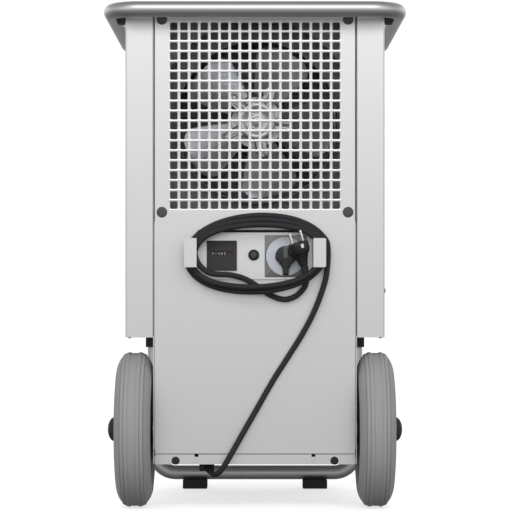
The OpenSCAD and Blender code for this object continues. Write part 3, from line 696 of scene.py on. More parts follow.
class FanSettings(bpy.types.PropertyGroup):
    """Fan blades and hub."""
    blades: bpy.props.IntProperty(name="Blades", description="Number of blades", default=5)
    first: bpy.props.FloatProperty(name="First blade", description="Where the first blade stands, seen from behind",
                                   default=math.radians(66), unit="ROTATION")
    pitch: bpy.props.FloatProperty(name="Pitch", description="Blade pitch at its root", default=math.radians(27),
                                   unit="ROTATION")
    twist: bpy.props.FloatProperty(name="Twist", description="How much the pitch falls off to the tip",
                                   default=math.radians(7), unit="ROTATION")
    camber: bpy.props.FloatProperty(name="Camber", description="Depth of the blade's hollow", default=0.007,
                                    unit="LENGTH")


class ControlSettings(bpy.types.PropertyGroup):
    """Control plate."""
    digits: bpy.props.StringProperty(name="Hours", description="Digits of the hour meter", default="01482")
    tenths: bpy.props.StringProperty(name="Tenths", description="Red digits of the hour meter", default="36")
    ticks: bpy.props.IntProperty(name="Ticks", description="Ticks round the dial", default=11)


class StudioSettings(bpy.types.PropertyGroup):
    """Camera, floor and light."""
    distance: bpy.props.FloatProperty(name="Distance", description="Camera to rear face", default=3.3,
                                      unit="LENGTH")
    height: bpy.props.FloatProperty(name="Height", description="Camera above the floor", default=0.351,
                                    unit="LENGTH")
    lens: bpy.props.FloatProperty(name="Lens", description="Focal length in millimetres", default=145.6)
    shift: bpy.props.FloatProperty(name="Shift", description="Upward shift of the view", default=0.0686)
    key_power: bpy.props.FloatProperty(name="Key light", description="Power of the large soft light above",
                                       default=24, unit="POWER")
    sky: bpy.props.FloatProperty(name="Sky", description="Brightness of the surroundings",
                                 default=1.3)


# ---- Operators ----

# Brightness of the surroundings by the sine of the height above the horizon.
SKY_TONES = [(-0.98, 0.10), (-0.5, 0.16), (-0.2, 0.26), (-0.06, 0.45), (0.08, 0.80), (0.18, 1.0), (0.34, 0.9),
             (0.5, 0.42), (0.98, 0.30)]


class StudioOperator(bpy.types.Operator):
    """Camera, pale floor, soft lights and white surroundings"""
    bl_idname = "dehumidifier.studio"
    bl_label = "Studio"

    def execute(self, context):
        studio = context.scene.dehumidifier_studio
        camera = bpy.data.objects.new("camera", bpy.data.cameras.new("camera"))
        camera.data.lens, camera.data.shift_y, camera.data.clip_end = studio.lens, studio.shift, 60
        camera.location = (0, REAR - studio.distance, studio.height)
        camera.rotation_euler = (math.pi / 2, 0, 0)
        context.scene.collection.objects.link(camera)
        context.scene.camera = camera
        self.floor(context)
        self.light(context, "key", (0, -2.6, 2.2), (0, 0, 0.55), (2.6, 0.9), studio.key_power)
        self.surroundings(context, studio.sky)
        context.scene.view_settings.view_transform = "Standard"
        return {"FINISHED"}

    @staticmethod
    def floor(context):
        """A plain pale floor, wide enough for every view."""
        reach = 30.0
        mesh = bpy.data.meshes.new("floor")
        mesh.from_pydata([(-reach, -reach, 0), (reach, -reach, 0), (reach, reach, 0), (-reach, reach, 0)], [],
                         [(0, 1, 2, 3)])
        pale = Finish("pale_floor", (0.95, 0.95, 0.95), 0.8, Emission_Strength=0.62)
        pale.shader.inputs["Emission Color"].default_value = (1, 1, 1, 1)
        pale.tint(pale.spread(pale.noise(3, 2), 0, 1), 0.99, 1.0)
        mesh.materials.append(pale.material)
        floor = bpy.data.objects.new("floor", mesh)
        floor.visible_glossy = floor.visible_diffuse = False
        context.scene.collection.objects.link(floor)

    @staticmethod
    def light(context, name, location, target, size, power):
        """A rectangular soft light that faces a target."""
        data = bpy.data.lights.new(name, "AREA")
        data.shape, data.size, data.size_y, data.energy = "RECTANGLE", size[0], size[1], power
        lamp = bpy.data.objects.new(name, data)
        lamp.location = location
        way = unit(np.subtract(target, location))
        lamp.rotation_euler = (math.acos(-way[2]), 0, math.atan2(way[0], -way[1]) + math.pi)
        context.scene.collection.objects.link(lamp)

    @staticmethod
    def surroundings(context, sky):
        """White to the camera; for what it lights, a bright band just above the horizon between grey and dark.

        The brightness also falls off towards the two sides, so the polished tubes have dark edges.
        """
        world = bpy.data.worlds.new("white_room")
        world.use_nodes = True
        tree = world.node_tree
        background = tree.nodes["Background"]
        direction = tree.nodes.new("ShaderNodeTexCoord")
        split = tree.nodes.new("ShaderNodeSeparateXYZ")
        height = tree.nodes.new("ShaderNodeMapRange")
        height.inputs["From Min"].default_value = -1
        ramp = tree.nodes.new("ShaderNodeValToRGB")
        ramp.color_ramp.interpolation = "EASE"
        for sine, tone in SKY_TONES:
            spot = ramp.color_ramp.elements.new((sine + 1) / 2)
            spot.color = (tone, tone, tone, 1)
        for spare in (0, -1):
            ramp.color_ramp.elements.remove(ramp.color_ramp.elements[spare])
        tree.links.new(direction.outputs["Generated"], split.inputs["Vector"])
        tree.links.new(split.outputs["Z"], height.inputs["Value"])
        tree.links.new(height.outputs["Result"], ramp.inputs["Fac"])
        tree.links.new(ramp.outputs["Color"], background.inputs["Color"])
        ahead = tree.nodes.new("ShaderNodeMath")
        ahead.operation = "ABSOLUTE"
        strength = tree.nodes.new("ShaderNodeMapRange")
        strength.inputs["From Max"].default_value = 0.75
        strength.inputs["To Min"].default_value, strength.inputs["To Max"].default_value = 0.45 * sky, 1.04 * sky
        tree.links.new(split.outputs["Y"], ahead.inputs[0])
        tree.links.new(ahead.outputs["Value"], strength.inputs["Value"])
        tree.links.new(strength.outputs["Result"], background.inputs["Strength"])
        seen = tree.nodes.new("ShaderNodeBackground")
        seen.inputs["Color"].default_value = (1.0, 1.0, 1.0, 1)
        seen.inputs["Strength"].default_value = 1.05
        path = tree.nodes.new("ShaderNodeLightPath")
        mix = tree.nodes.new("ShaderNodeMixShader")
        tree.links.new(path.outputs["Is Camera Ray"], mix.inputs["Fac"])
        tree.links.new(background.outputs["Background"], mix.inputs[1])
        tree.links.new(seen.outputs["Background"], mix.inputs[2])
        tree.links.new(mix.outputs["Shader"], tree.nodes["World Output"].inputs["Surface"])
        context.scene.world = world


# The cord's route where it isn't wound, as (across, behind the rear face, up) in metres.
LEAD_ROUTE = [
    (-0.071, -0.019, 0.059), (-0.066, -0.004, 0.0555), (-0.057, 0.008, 0.060), (-0.047, 0.014, 0.074),
    (-0.036, 0.015, 0.093), (-0.023, 0.013, 0.116), (0.000, 0.009, 0.156), (0.028, 0.006, 0.205),
    (0.052, 0.007, 0.243), (0.074, 0.010, 0.278), (0.092, 0.014, 0.312), (0.106, 0.017, 0.347),
    (0.114, 0.020, 0.378),
]
TAIL_ROUTE = [
    (-0.008, 0.014, 0.3645), (0.008, 0.012, 0.354), (0.024, 0.011, 0.343), (0.046, 0.0115, 0.336),
    (0.064, 0.013, 0.3408), (0.077, 0.018, 0.353), (0.082, 0.025, 0.366), (0.081, 0.031, 0.377),
]
LEAD_START = (0.25, 0.92, -0.2)
PLUG_AXIS = (-0.265, 0.1, 0.959)


def routed(points):
    """Points given as (across, behind, up) turned to places in the frame."""
    points = np.atleast_2d(np.asarray(points, float))
    return np.column_stack([points[:, 0], REAR - points[:, 1], points[:, 2]])


def toward(direction):
    """A direction given as (across, behind, up) turned to the frame."""
    return unit(np.array([direction[0], -direction[1], direction[2]]))


class CordOperator(bpy.types.Operator):
    """Mains cord from its boot, round the hooks, through the loose loop and into the plug"""
    bl_idname = "dehumidifier.cord"
    bl_label = "Cord and plug"

    def execute(self, context):
        cord = context.scene.dehumidifier_cord
        path = flowing(routed(np.concatenate([LEAD_ROUTE, self.turns(cord), TAIL_ROUTE])),
                       toward(LEAD_START), toward(PLUG_AXIS), 6)
        gone = np.concatenate([[0], np.cumsum(np.linalg.norm(np.diff(path, axis=0), axis=1))])
        swing = np.clip(gone / 0.07, 0, 1)[:, None]
        reference = swing * np.array([0, 1, 0]) + (1 - swing) * np.array([0.0, 0, 1])
        surface, uv = tube(path, cord.diameter / 2, reference)
        sheath = piece("mains_cord", surface, "cord_rubber",
                       stands_for=("cord_lead", "cord_winding", "cord_tail"), uv=uv)
        plug = self.plug()
        self.gland()
        return {"FINISHED"}

    @staticmethod
    def turns(cord):
        """The wound part: x = a cos t + e cos t sin^2 t + skew z, z = b sin t, with a and b shrinking turn by turn.

        e is chosen so that each end of a turn bends at the given radius. The last turn drops off the left hook on an
        arc. The depth follows a few heights named by turn, so that strands that cross lie over each other.
        """
        skew, middle, arc_bend = 0.12, 0.0025, 0.036
        t = np.linspace(0, cord.turns, 62)[1:]
        a = cord.half_width - cord.width_step * t
        b = cord.half_height - cord.height_step * t
        e = (a - b**2 / cord.bend) / 2
        angle = 2 * math.pi * t
        z = b * np.sin(angle)
        x = middle + a * np.cos(angle) + e * np.cos(angle) * np.sin(angle)**2 + skew * z
        depth = np.interp(t, [0, 0.25, 0.5, 0.68, 0.82, 1.0, 1.16, 1.5, 1.68, 1.82, 2.0, 2.13, 2.5],
                          [19, 15, 14, 19, 29.5, 29, 24, 23, 29, 36.5, 37, 31.5, 32])
        wound = np.column_stack([x, depth * MM, cord.height + z])
        swing = math.pi + np.radians(np.arange(18, 91, 18))
        left, top = wound[-1, 0], wound[-1, 2]
        dropped = np.column_stack([left + arc_bend + arc_bend * np.cos(swing), np.linspace(31.5, 27, len(swing)) * MM,
                                   top + arc_bend * np.sin(swing)])
        crossing = [(-0.042, 0.0225, 0.3752), (-0.024, 0.0175, 0.3715)]
        return np.concatenate([wound, dropped, crossing])

    @staticmethod
    def plug():
        """The moulded plug on its axis: ribbed boot, flared grip, round cup with a raised rim, pins and earth clips."""
        base, axis = routed(TAIL_ROUTE[-1])[0], toward(PLUG_AXIS)
        across = unit(axis * axis[2] - np.array([0.0, 0.0, 1.0]))
        side = np.cross(axis, across)
        face, pin_place, cup_r = 50.2, 9.5, 16.4
        d = np.linspace(0, 16, 65)
        ribs = 5.3 + 0.7 * d / 16 + 0.4 * np.clip(np.sin(d * math.pi / 1.6), -0.7, 0.7)
        boot = np.column_stack([np.concatenate([[0], ribs, [0]]), np.concatenate([[0], d, [16]])]) * MM
        t = np.linspace(0, 1, 24)
        flare = 7.2 + 5.4 * t**1.5
        grip = np.column_stack([np.concatenate([[0], flare, [0]]), np.concatenate([[0], t * 17, [17]]) + 15]) * MM
        cup = np.array([(0, 31.4), (12.5, 31.6), (14.1, 33.4), (15.3, 36), (16.1, 39), (cup_r, 41.5), (cup_r, 49.4),
                        (16.2, 50.4), (15.6, 50.9), (14.7, 50.9), (14.3, face), (0, face)]) * MM
        shells = [
            piece("plug_boot", lathe(boot, base, axis, 40), "cord_rubber"),
            piece("plug_grip", lathe(grip, base, axis, 48), "plug_rubber"),
            piece("plug_head", lathe(cup, base, axis, 96), "plug_rubber", stands_for=("plug_body",)),
        ]
        pin = np.array([(0, 0), (2.4, 0), (2.4, 17.2), (2.2, 18.2), (1.6, 18.8), (0.8, 19), (0, 19)]) * MM
        collar = np.array([(0, 0), (3.4, 0), (3.4, 0.8), (3.0, 1.2), (0, 1.2)]) * MM
        feet = [base + (axis * face + s * pin_place * across) * MM for s in (-1, 1)]
        shells.append(piece("plug_pins_finished", joined(*[lathe(pin, foot, axis, 24) for foot in feet]),
                            "plated_pin", stands_for=("plug_pins",)))
        shells.append(piece("plug_pin_collars", joined(*[lathe(collar, foot, axis, 24) for foot in feet]),
                            "plug_rubber"))
        section = ((-2.2, -0.6), (-2.2, 0.1), (2.2, 0.1), (2.2, -0.6), (-2.2, -0.6))
        clips = []
        for s in (-1, 1):
            rows = np.array([[base + (axis * h + across * w + s * side * (cup_r + out)) * MM for w, out in section]
                             for h in (42.5, 45.5, 48.5)])
            ends = [np.broadcast_to(row[:4].mean(0), row.shape) for row in (rows[0], rows[-1])]
            clips.append(grid(np.array([ends[0], *rows, ends[1]])))
        shells.append(piece("plug_earth_clips", joined(*clips), "plated_pin"))
        return shells

    @staticmethod
    def gland():
        """The clamp block under the base and the tapered, ribbed boot that the cord leaves through."""
        end, way = routed(LEAD_ROUTE[0])[0], toward(LEAD_START)
        d = np.linspace(0, 24, 97)
        ribs = 7.2 - 1.9 * d / 24 - 0.5 * (np.sin(d * math.pi / 1.5) > 0.35) * (d > 3) * (d < 22)
        boot = np.column_stack([np.concatenate([[0], ribs, [0]]), np.concatenate([[0], d, [24]])]) * MM
        piece("cord_boot", lathe(boot, end - way * 24 * MM, way, 40), "black_rubber")
        low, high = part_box("cord_gland")
        outline = round_rectangle((low.x + 12 * MM, REAR + 46 * MM), (12 * MM, 12 * MM), 2 * MM)
        points, faces = slab(outline, 58 * MM, high.z, 1.2 * MM)
        piece("cord_clamp_block", (points[:, [0, 2, 1]], faces), "black_plastic", stands_for=("cord_gland",))


class SheetOperator(bpy.types.Operator):
    """Perforated panels, casing sides, covers, hooks and brackets of satin sheet"""
    bl_idname = "dehumidifier.sheet_metal"
    bl_label = "Sheet metal"

    def execute(self, context):
        sheet = context.scene.dehumidifier_sheet
        low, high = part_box("rear_panel")
        opening_low, opening_high, opening_first, opening_last = 0.372, 0.438, 4, 14
        self.panel("rear_panel_finished", sheet, (low.x, high.x), [low.z, opening_low, opening_high], high.z,
                   (low.y, high.y), lambda row, column: row == 1 and opening_first <= column <= opening_last,
                   ("rear_panel",))
        for node in ("casing_left", "casing_right", "side_panel_left", "side_panel_right", "top_cover",
                     "rear_base_strip", "cord_hooks", "base_plate", "control_plate"):
            softened(node, "sheet_steel", sheet.edge)
        dress("sheet_steel", "front_panel", "axle_brackets", "drip_tray")
        return {"FINISHED"}

    @staticmethod
    def panel(name, sheet, across, levels, top, depth, is_open, stands_for):
        """A sheet whose grille holes are rounded squares with a rolled rim.

        A grid of lines passes between the holes and on to the sheet's edges. A cell of the grille is a ring of faces
        from its four corners to the hole's outline; any other cell is one face, or open.
        """
        nx, nz = sheet.columns, sheet.rows
        x = np.concatenate([[across[0]], (np.arange(nx + 1) - nx / 2) * sheet.pitch_x, [across[1]]])
        z = np.concatenate([levels, sheet.grille_z + (np.arange(nz + 1) - nz / 2) * sheet.pitch_z, [top]])
        columns, rows = len(x), len(z)
        first_row = len(levels)
        node = np.arange(rows * columns).reshape(rows, columns)
        cells = [(r, c) for r in range(rows - 1) for c in range(columns - 1)]
        holes = [(r, c) for r, c in cells if first_row <= r < first_row + nz and 1 <= c <= nx]
        plain = np.array([(r, c) for r, c in cells
                          if not (first_row <= r < first_row + nz and 1 <= c <= nx) and not is_open(r, c)])
        r, c = np.array(holes).T
        centres = np.column_stack([(x[c] + x[c + 1]) / 2, (z[r] + z[r + 1]) / 2])
        half, steps = sheet.hole / 2, 4
        inner = round_rectangle((0, 0), (half, half), sheet.hole_corner, steps)
        outer = round_rectangle((0, 0), (half + sheet.rim, half + sheet.rim), sheet.hole_corner + sheet.rim, steps)
        ring = len(inner)
        count = len(holes)

        def flat(points, y):
            return np.column_stack([points[:, 0], np.full(len(points), y), points[:, 1]])

        lattice = np.column_stack([np.tile(x, rows), np.repeat(z, columns)])
        layers = [(outer, depth[0]), (inner, depth[0] + sheet.rim), (inner, depth[1])]
        points = [flat(lattice, depth[0]), flat(lattice, depth[1])]
        points += [flat((centres[:, None] + outline[None]).reshape(-1, 2), y) for outline, y in layers]
        start = 2 * rows * columns + np.arange(3) * count * ring
        k = np.arange(ring)
        faces = []
        # The four cell corners in the order of the outline's quarter turns: right top, left top, left low, right low.
        corner = np.stack([node[r + 1, c + 1], node[r + 1, c], node[r, c], node[r, c + 1]], axis=1)
        for layer, lift in ((0, 0), (2, rows * columns)):
            hole = start[layer] + np.arange(count)[:, None] * ring + k[None, :]
            for q in range(4):
                fan = hole[:, q * steps:(q + 1) * steps]
                for s in range(steps - 1):
                    faces.append(np.stack([corner[:, q] + lift, fan[:, s], fan[:, s + 1]], axis=1))
                next_fan = hole[:, ((q + 1) % 4) * steps]
                faces.append(np.stack([corner[:, q] + lift, fan[:, -1], next_fan, corner[:, (q + 1) % 4] + lift],
                                      axis=1))
            pr, pc = plain.T
            faces.append(np.stack([node[pr, pc], node[pr, pc + 1], node[pr + 1, pc + 1], node[pr + 1, pc]],
                                  axis=1) + lift)
        for layer in (0, 1):
            a = start[layer] + np.arange(count)[:, None] * ring + k[None, :]
            b = start[layer] + np.arange(count)[:, None] * ring + np.roll(k, -1)[None, :]
            step = start[layer + 1] - start[layer]
            faces.append(np.stack([a, b, b + step, a + step], axis=-1).reshape(-1, 4))
        solid = np.zeros((rows + 1, columns + 1), bool)
        solid[1:-1, 1:-1] = [[not is_open(i, j) for j in range(columns - 1)] for i in range(rows - 1)]
        edges = []
        for i, j in zip(*np.nonzero(solid[:, :-1] != solid[:, 1:])):
            edges.append((node[i - 1, j], node[i, j]) if 1 <= i < rows else None)
        for i, j in zip(*np.nonzero(solid[:-1] != solid[1:])):
            edges.append((node[i, j - 1], node[i, j]) if 1 <= j < columns else None)
        edges = np.array([e for e in edges if e is not None])
        faces.append(np.stack([edges[:, 0], edges[:, 1], edges[:, 1] + rows * columns, edges[:, 0] + rows * columns],
                              axis=1))
        made = piece(name, (np.concatenate(points), faces), "sheet_steel", stands_for=stands_for, angle=50)
        return made


class TubeOperator(bpy.types.Operator):
    """Polished handle ring and front frame, with their blocks, clamps and feet"""
    bl_idname = "dehumidifier.tubes"
    bl_label = "Handle ring and frame"

    def execute(self, context):
        tubes = context.scene.dehumidifier_tubes
        low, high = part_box("handle_ring")
        r = (high.z - low.z) / 2
        x, y0, y1, z = high.x - r, low.y + r, high.y - r, (low.z + high.z) / 2
        ring = dense(bent([(x, y0, z), (x, y1, z), (-x, y1, z), (-x, y0, z)], tubes.ring_bend, True, 16), 0.02)
        surface, uv = loop_tube(ring, r, (0, 0, 1), 48)
        piece("handle_ring_finished", surface, "tube_steel", stands_for=("handle_ring",), uv=uv)
        low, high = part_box("front_frame")
        r = (high.y - low.y) / 2
        x, y, z = high.x - r, (low.y + high.y) / 2, low.z + r
        legs = bent([(-x, y, high.z), (-x, y, z), (x, y, z), (x, y, high.z)], tubes.frame_bend, False, 14)
        surface, uv = tube(dense(legs, 0.02), r, (0, 1, 0), 40)
        piece("front_frame_finished", surface, "tube_steel", stands_for=("front_frame",), uv=uv)
        for node in ("ring_blocks", "frame_clamps"):
            softened(node, "black_plastic", 1.2 * MM)
        softened("feet", "black_rubber", 1.5 * MM)
        dress("turned_steel", "axle")
        return {"FINISHED"}


class WheelOperator(bpy.types.Operator):
    """Both wheels: ribbed tyre, rim, bush and domed hub cap"""
    bl_idname = "dehumidifier.wheels"
    bl_label = "Wheels"

    def execute(self, context):
        wheels = context.scene.dehumidifier_wheels
        for side in ("left", "right"):
            low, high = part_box(f"tyre_{side}")
            radius, half = (high.z - low.z) / 2, (high.x - low.x) / 2
            centre = np.array((low + high) / 2)
            body = f"wheel_{side}"
            piece(f"tyre_{side}_finished", lathe(self.section(radius, half, wheels), centre, (1, 0, 0), 160),
                  "grey_tyre", body, (f"tyre_{side}",), angle=50)
            softened(f"rim_{side}", "black_plastic", 0.8 * MM)
            softened(f"hub_cap_{side}", "black_plastic", 0.5 * MM)
            dress("white_plastic", f"bush_{side}")
        return {"FINISHED"}

    @staticmethod
    def section(radius, half, wheels):
        """The tyre's section: round shoulders, outer ribs, grooves beside them and a sunken middle band."""
        g, band = wheels.groove, wheels.rib
        bead = radius - 41 * MM
        side = [(bead, half - 7 * MM), (bead + 2.5 * MM, half - 3 * MM), (bead + 6 * MM, half - 0.9 * MM),
                (bead + 10 * MM, half), (bead + 11 * MM, half - 0.5 * MM), (bead + 18 * MM, half - 0.8 * MM),
                (bead + 22 * MM, half - 2.0 * MM), (bead + 26.5 * MM, half - 3.9 * MM),
                (bead + 30 * MM, half - 5.9 * MM), (bead + 33 * MM, half - 8.2 * MM),
                (bead + 35 * MM, half - 9.7 * MM)]
        tread = [(radius - 4.9 * MM, 18.9 * MM), (radius - 4.9 * MM - g, 18.6 * MM),
                 (radius - 4.6 * MM - g, 18.1 * MM), (radius - 3.3 * MM, 18.0 * MM),
                 (radius - 2.2 * MM, 15.6 * MM), (radius - 1.6 * MM, 13.0 * MM),
                 (radius - 1.6 * MM - g, 12.7 * MM), (radius - 1.5 * MM - g, 12.2 * MM),
                 (radius - 0.4 * MM, 12.0 * MM), (radius - 0.05 * MM, 10.0 * MM), (radius, band + 0.8 * MM),
                 (radius - 0.4 * MM, band + 0.1 * MM), (radius - 1.4 * MM, band - 0.3 * MM),
                 (radius - 1.2 * MM, band * 0.5), (radius - 1.1 * MM, 0)]
        right = np.array(side + tread)
        left = right[::-1][1:] * (1, -1)
        return np.concatenate([right, left, right[:1]])


class FanOperator(bpy.types.Operator):
    """Five cambered blades on a pressed hub, with the shroud and motor behind"""
    bl_idname = "dehumidifier.fan"
    bl_label = "Fan"

    def execute(self, context):
        fan = context.scene.dehumidifier_fan
        axis_x, axis_z = 0.003, 0.625
        centre = np.array([axis_x, REAR + 63 * MM, axis_z])
        tip = 124.0 * MM
        angles = fan.first + np.arange(fan.blades) * 2 * math.pi / fan.blades
        piece("fan_blades_finished", joined(*[self.blade(fan, centre, a, tip) for a in angles]),
              "blade_aluminium", "fan", ("fan_blades",), angle=50)
        hub = np.array([(0, 45.2), (3.2, 45.2), (3.8, 45.8), (6.0, 46.0), (7.0, 47.8), (9.5, 48.6), (15, 48.6),
                        (18.5, 47.6), (21, 45.6), (24, 44.3), (27, 44.1), (29.2, 45.2), (30, 48), (30, 66),
                        (28.4, 66), (28.4, 50), (6, 50), (6, 86), (0, 86)]) * MM
        rear = np.array([axis_x, REAR, axis_z])
        arms = [self.arm(fan, centre, a) for a in angles]
        rivets = [self.rivet(fan, centre, a, r, s) for a in angles for r, s in ((47, -9), (47, 9), (57, 0))]
        holes = [lathe(np.array([(0, 0), (2.3, 0), (2.0, -0.9), (0, -1.3)]) * MM,
                       rear + np.array([12.5 * MM * math.cos(a), 48.7 * MM, 12.5 * MM * math.sin(a)]), (0, 1, 0), 16)
                 for a in np.arange(6) * math.pi / 3]
        piece("fan_hub_and_arms", joined(lathe(hub, rear, (0, 1, 0), 72), *arms, *rivets, *holes),
              "cast_aluminium", "fan", ("fan_spider",), angle=45)
        dress("dark_steel", "fan_shroud")
        dress("cast_aluminium", "fan_motor")
        dress("black_steel", "motor_bracket")
        return {"FINISHED"}

    @staticmethod
    def directions(angle):
        """Outward and sideways directions of a blade that stands at an angle, seen from behind."""
        return (np.array([math.cos(angle), 0, math.sin(angle)]), np.array([-math.sin(angle), 0, math.cos(angle)]))

    @classmethod
    def pitched(cls, fan, centre, angle, radial, side, lift):
        """Places (radial, sideways, lift) on a blade: the sideways line turns about the radius by the pitch there."""
        out, across = cls.directions(angle)
        back = np.array([0.0, -1.0, 0.0])
        pitch = fan.pitch - fan.twist * np.clip((radial - 0.04) / 0.084, 0, 1)
        c, s = np.cos(pitch)[..., None], np.sin(pitch)[..., None]
        radial, side, lift = radial[..., None], side[..., None], lift[..., None]
        return centre + radial * out + side * (c * across + s * back) + lift * (c * back - s * across)

    @classmethod
    def blade(cls, fan, centre, angle, tip):
        """One blade: chord coordinate u in -1..1, span v in 0..1, half chord widening with v, rounded at the tip.

        The middle line sinks by camber (1 - u^2); the two skins stand 0.6 mm each side of it and meet at the edge.
        """
        u = np.linspace(-1, 1, 33)[None, :]
        v = np.linspace(0, 1, 25)[:, None]
        half = (24 + 24 * np.minimum(1, v * 1.35)**0.8) * MM * np.ones_like(u)
        corner = np.sqrt(np.clip(1 - (np.clip(v - 0.80, 0, 1) / 0.2)**2 * 0.45, 0, 1))
        side = u * half * corner
        radial = (40 * MM + v * (tip - 40 * MM)) * np.ones_like(u)
        radial = np.sqrt(np.maximum(radial**2 - (side * np.clip(v, 0.3, 1))**2, 1e-9))
        lift = -fan.camber * (1 - u**2) * (0.4 + 0.6 * v) + 2 * MM
        thin = 0.6 * MM * np.sqrt(np.clip(1 - u**8, 0, 1)) * np.sqrt(np.clip(1 - np.abs(2 * v - 1)**12, 0, 1))
        upper = cls.pitched(fan, centre, angle, radial, side, lift + thin)
        lower = cls.pitched(fan, centre, angle, radial, side, lift - thin)
        return joined(grid(upper), grid(lower))

    @classmethod
    def arm(cls, fan, centre, angle):
        """One pressed arm: a strip with two rounded ribs along it, closed underneath."""
        side = np.linspace(-1, 1, 41)[None, :]
        v = np.linspace(0, 1, 15)[:, None]
        width = (11.5 - 2.0 * v) * MM
        rib = np.exp(-((np.abs(side) - 0.52) / 0.17)**2) * (1 - v**6) * 3.4 * MM
        shell = (1.2 + 0 * v) * MM + rib
        radial = (26 + 34 * v) * MM * np.ones_like(side) - (v * side**2) * 2.5 * MM
        edge = (np.abs(side) < 0.999) & (v > 0.001) & (v < 0.999)
        base = 3.2 * MM
        upper = cls.pitched(fan, centre, angle, radial, side * width, base + np.where(edge, shell, 0.2 * MM))
        lower = cls.pitched(fan, centre, angle, radial, side * width, base + 0 * side * v)
        rim = [np.stack([upper[0], lower[0]]), np.stack([lower[-1], upper[-1]]),
               np.stack([lower[:, 0], upper[:, 0]]), np.stack([upper[:, -1], lower[:, -1]])]
        return joined(grid(upper), grid(lower), *[grid(strip) for strip in rim])

    @classmethod
    def rivet(cls, fan, centre, angle, radial, side):
        """A domed rivet head on the arm."""
        across = cls.directions(angle)[1]
        spot = cls.pitched(fan, centre, angle, np.array(radial * MM), np.array(side * MM), np.array(3.4 * MM))
        pitch = fan.pitch
        way = -np.array([0.0, -1.0, 0.0]) * math.cos(pitch) + across * math.sin(pitch)
        dome = np.array([(0, -2.6), (1.4, -2.3), (2.4, -1.5), (2.8, -0.4), (2.8, 0.6), (0, 0.6)]) * MM
        return lathe(dome, spot, way, 16)


class CoilOperator(bpy.types.Operator):
    """Refrigerant circuit: finned coils, compressor, lines and fittings"""
    bl_idname = "dehumidifier.refrigerant_circuit"
    bl_label = "Refrigerant circuit"

    def execute(self, context):
        for node in ("evaporator", "condenser"):
            self.coil(node)
        dress("copper", "refrigerant_lines", "filter_drier")
        dress("brass", "solenoid_valve")
        dress("black_steel", "compressor")
        dress("black_rubber", "compressor_mounts")
        return {"FINISHED"}

    @staticmethod
    def coil(node):
        """A coil's pleated fin pack between end plates, with its hairpin bends in copper.

        The pack's faces are pleats: the depth steps in by 3 mm over every other fin gap.
        """
        low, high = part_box(node)
        pack_width, hairpins, lowest, spacing = 285, 7, 552, 36
        right = low.x + pack_width * MM
        x0, x1, y0, y1 = low.x + 1.5 * MM, right - 1.5 * MM, low.y + 2 * MM, high.y - 2 * MM
        z0, z1 = low.z + 10 * MM, high.z - 2 * MM
        pitch = 2.6 * MM
        n = int((x1 - x0) / pitch)
        x = x0 + (x1 - x0) * np.repeat(np.arange(n + 1) / n, 4)[1:-1]
        sunk = np.resize([0, 3 * MM, 3 * MM, 0], len(x))
        section = [np.column_stack([x, y0 + sunk]), np.column_stack([x[::-1], y1 - sunk[::-1]])]
        outline = np.concatenate(section + [section[0][:1]])
        rows = []
        middle = np.array([(x0 + x1) / 2, (y0 + y1) / 2])
        for z, shrink in ((z0, 0), (z0, 1), (z1, 1), (z1, 0)):
            ring = outline * shrink + middle * (1 - shrink)
            rows.append(np.column_stack([ring, np.full(len(outline), z)]))
        pack = piece(f"{node}_fins", grid(np.array(rows)), "fin_aluminium", stands_for=(node,), angle=20)
        plates = [slab(np.array([(a, b) for a, b in ((y0 - 2 * MM, low.z), (y1 + 2 * MM, low.z),
                                                     (y1 + 2 * MM, high.z), (y0 - 2 * MM, high.z))]),
                       x, x + 1.5 * MM, 0.2 * MM) for x in (low.x, right - 1.5 * MM)]
        turned = [(points[:, [1, 0, 2]], faces) for points, faces in plates]
        piece(f"{node}_end_plates", joined(*turned), "sheet_steel")
        bends = []
        middle_y = (y0 + y1) / 2
        t = np.linspace(0, math.pi, 13)
        for i in range(hairpins):
            z = lowest * MM + i * spacing * MM
            line = np.column_stack([right + 9 * MM * np.sin(t), np.full(13, middle_y), z - 9 * MM * np.cos(t)])
            bends.append(tube(line, 4 * MM, (0, 1, 0), 12)[0])
        piece(f"{node}_hairpins", joined(*bends), "copper")
        return pack


class TankOperator(bpy.types.Operator):
    """Water tank, its handle and float, and the air filter"""
    bl_idname = "dehumidifier.tank_and_filter"
    bl_label = "Tank and filter"

    def execute(self, context):
        softened("water_tank", "tank_plastic", 1.2 * MM)
        softened("tank_handle", "black_plastic", 0.6 * MM)
        softened("filter_frame", "black_plastic", 0.8 * MM)
        dress("float_plastic", "tank_float")
        dress("filter_fabric", "filter_mesh")
        return {"FINISHED"}


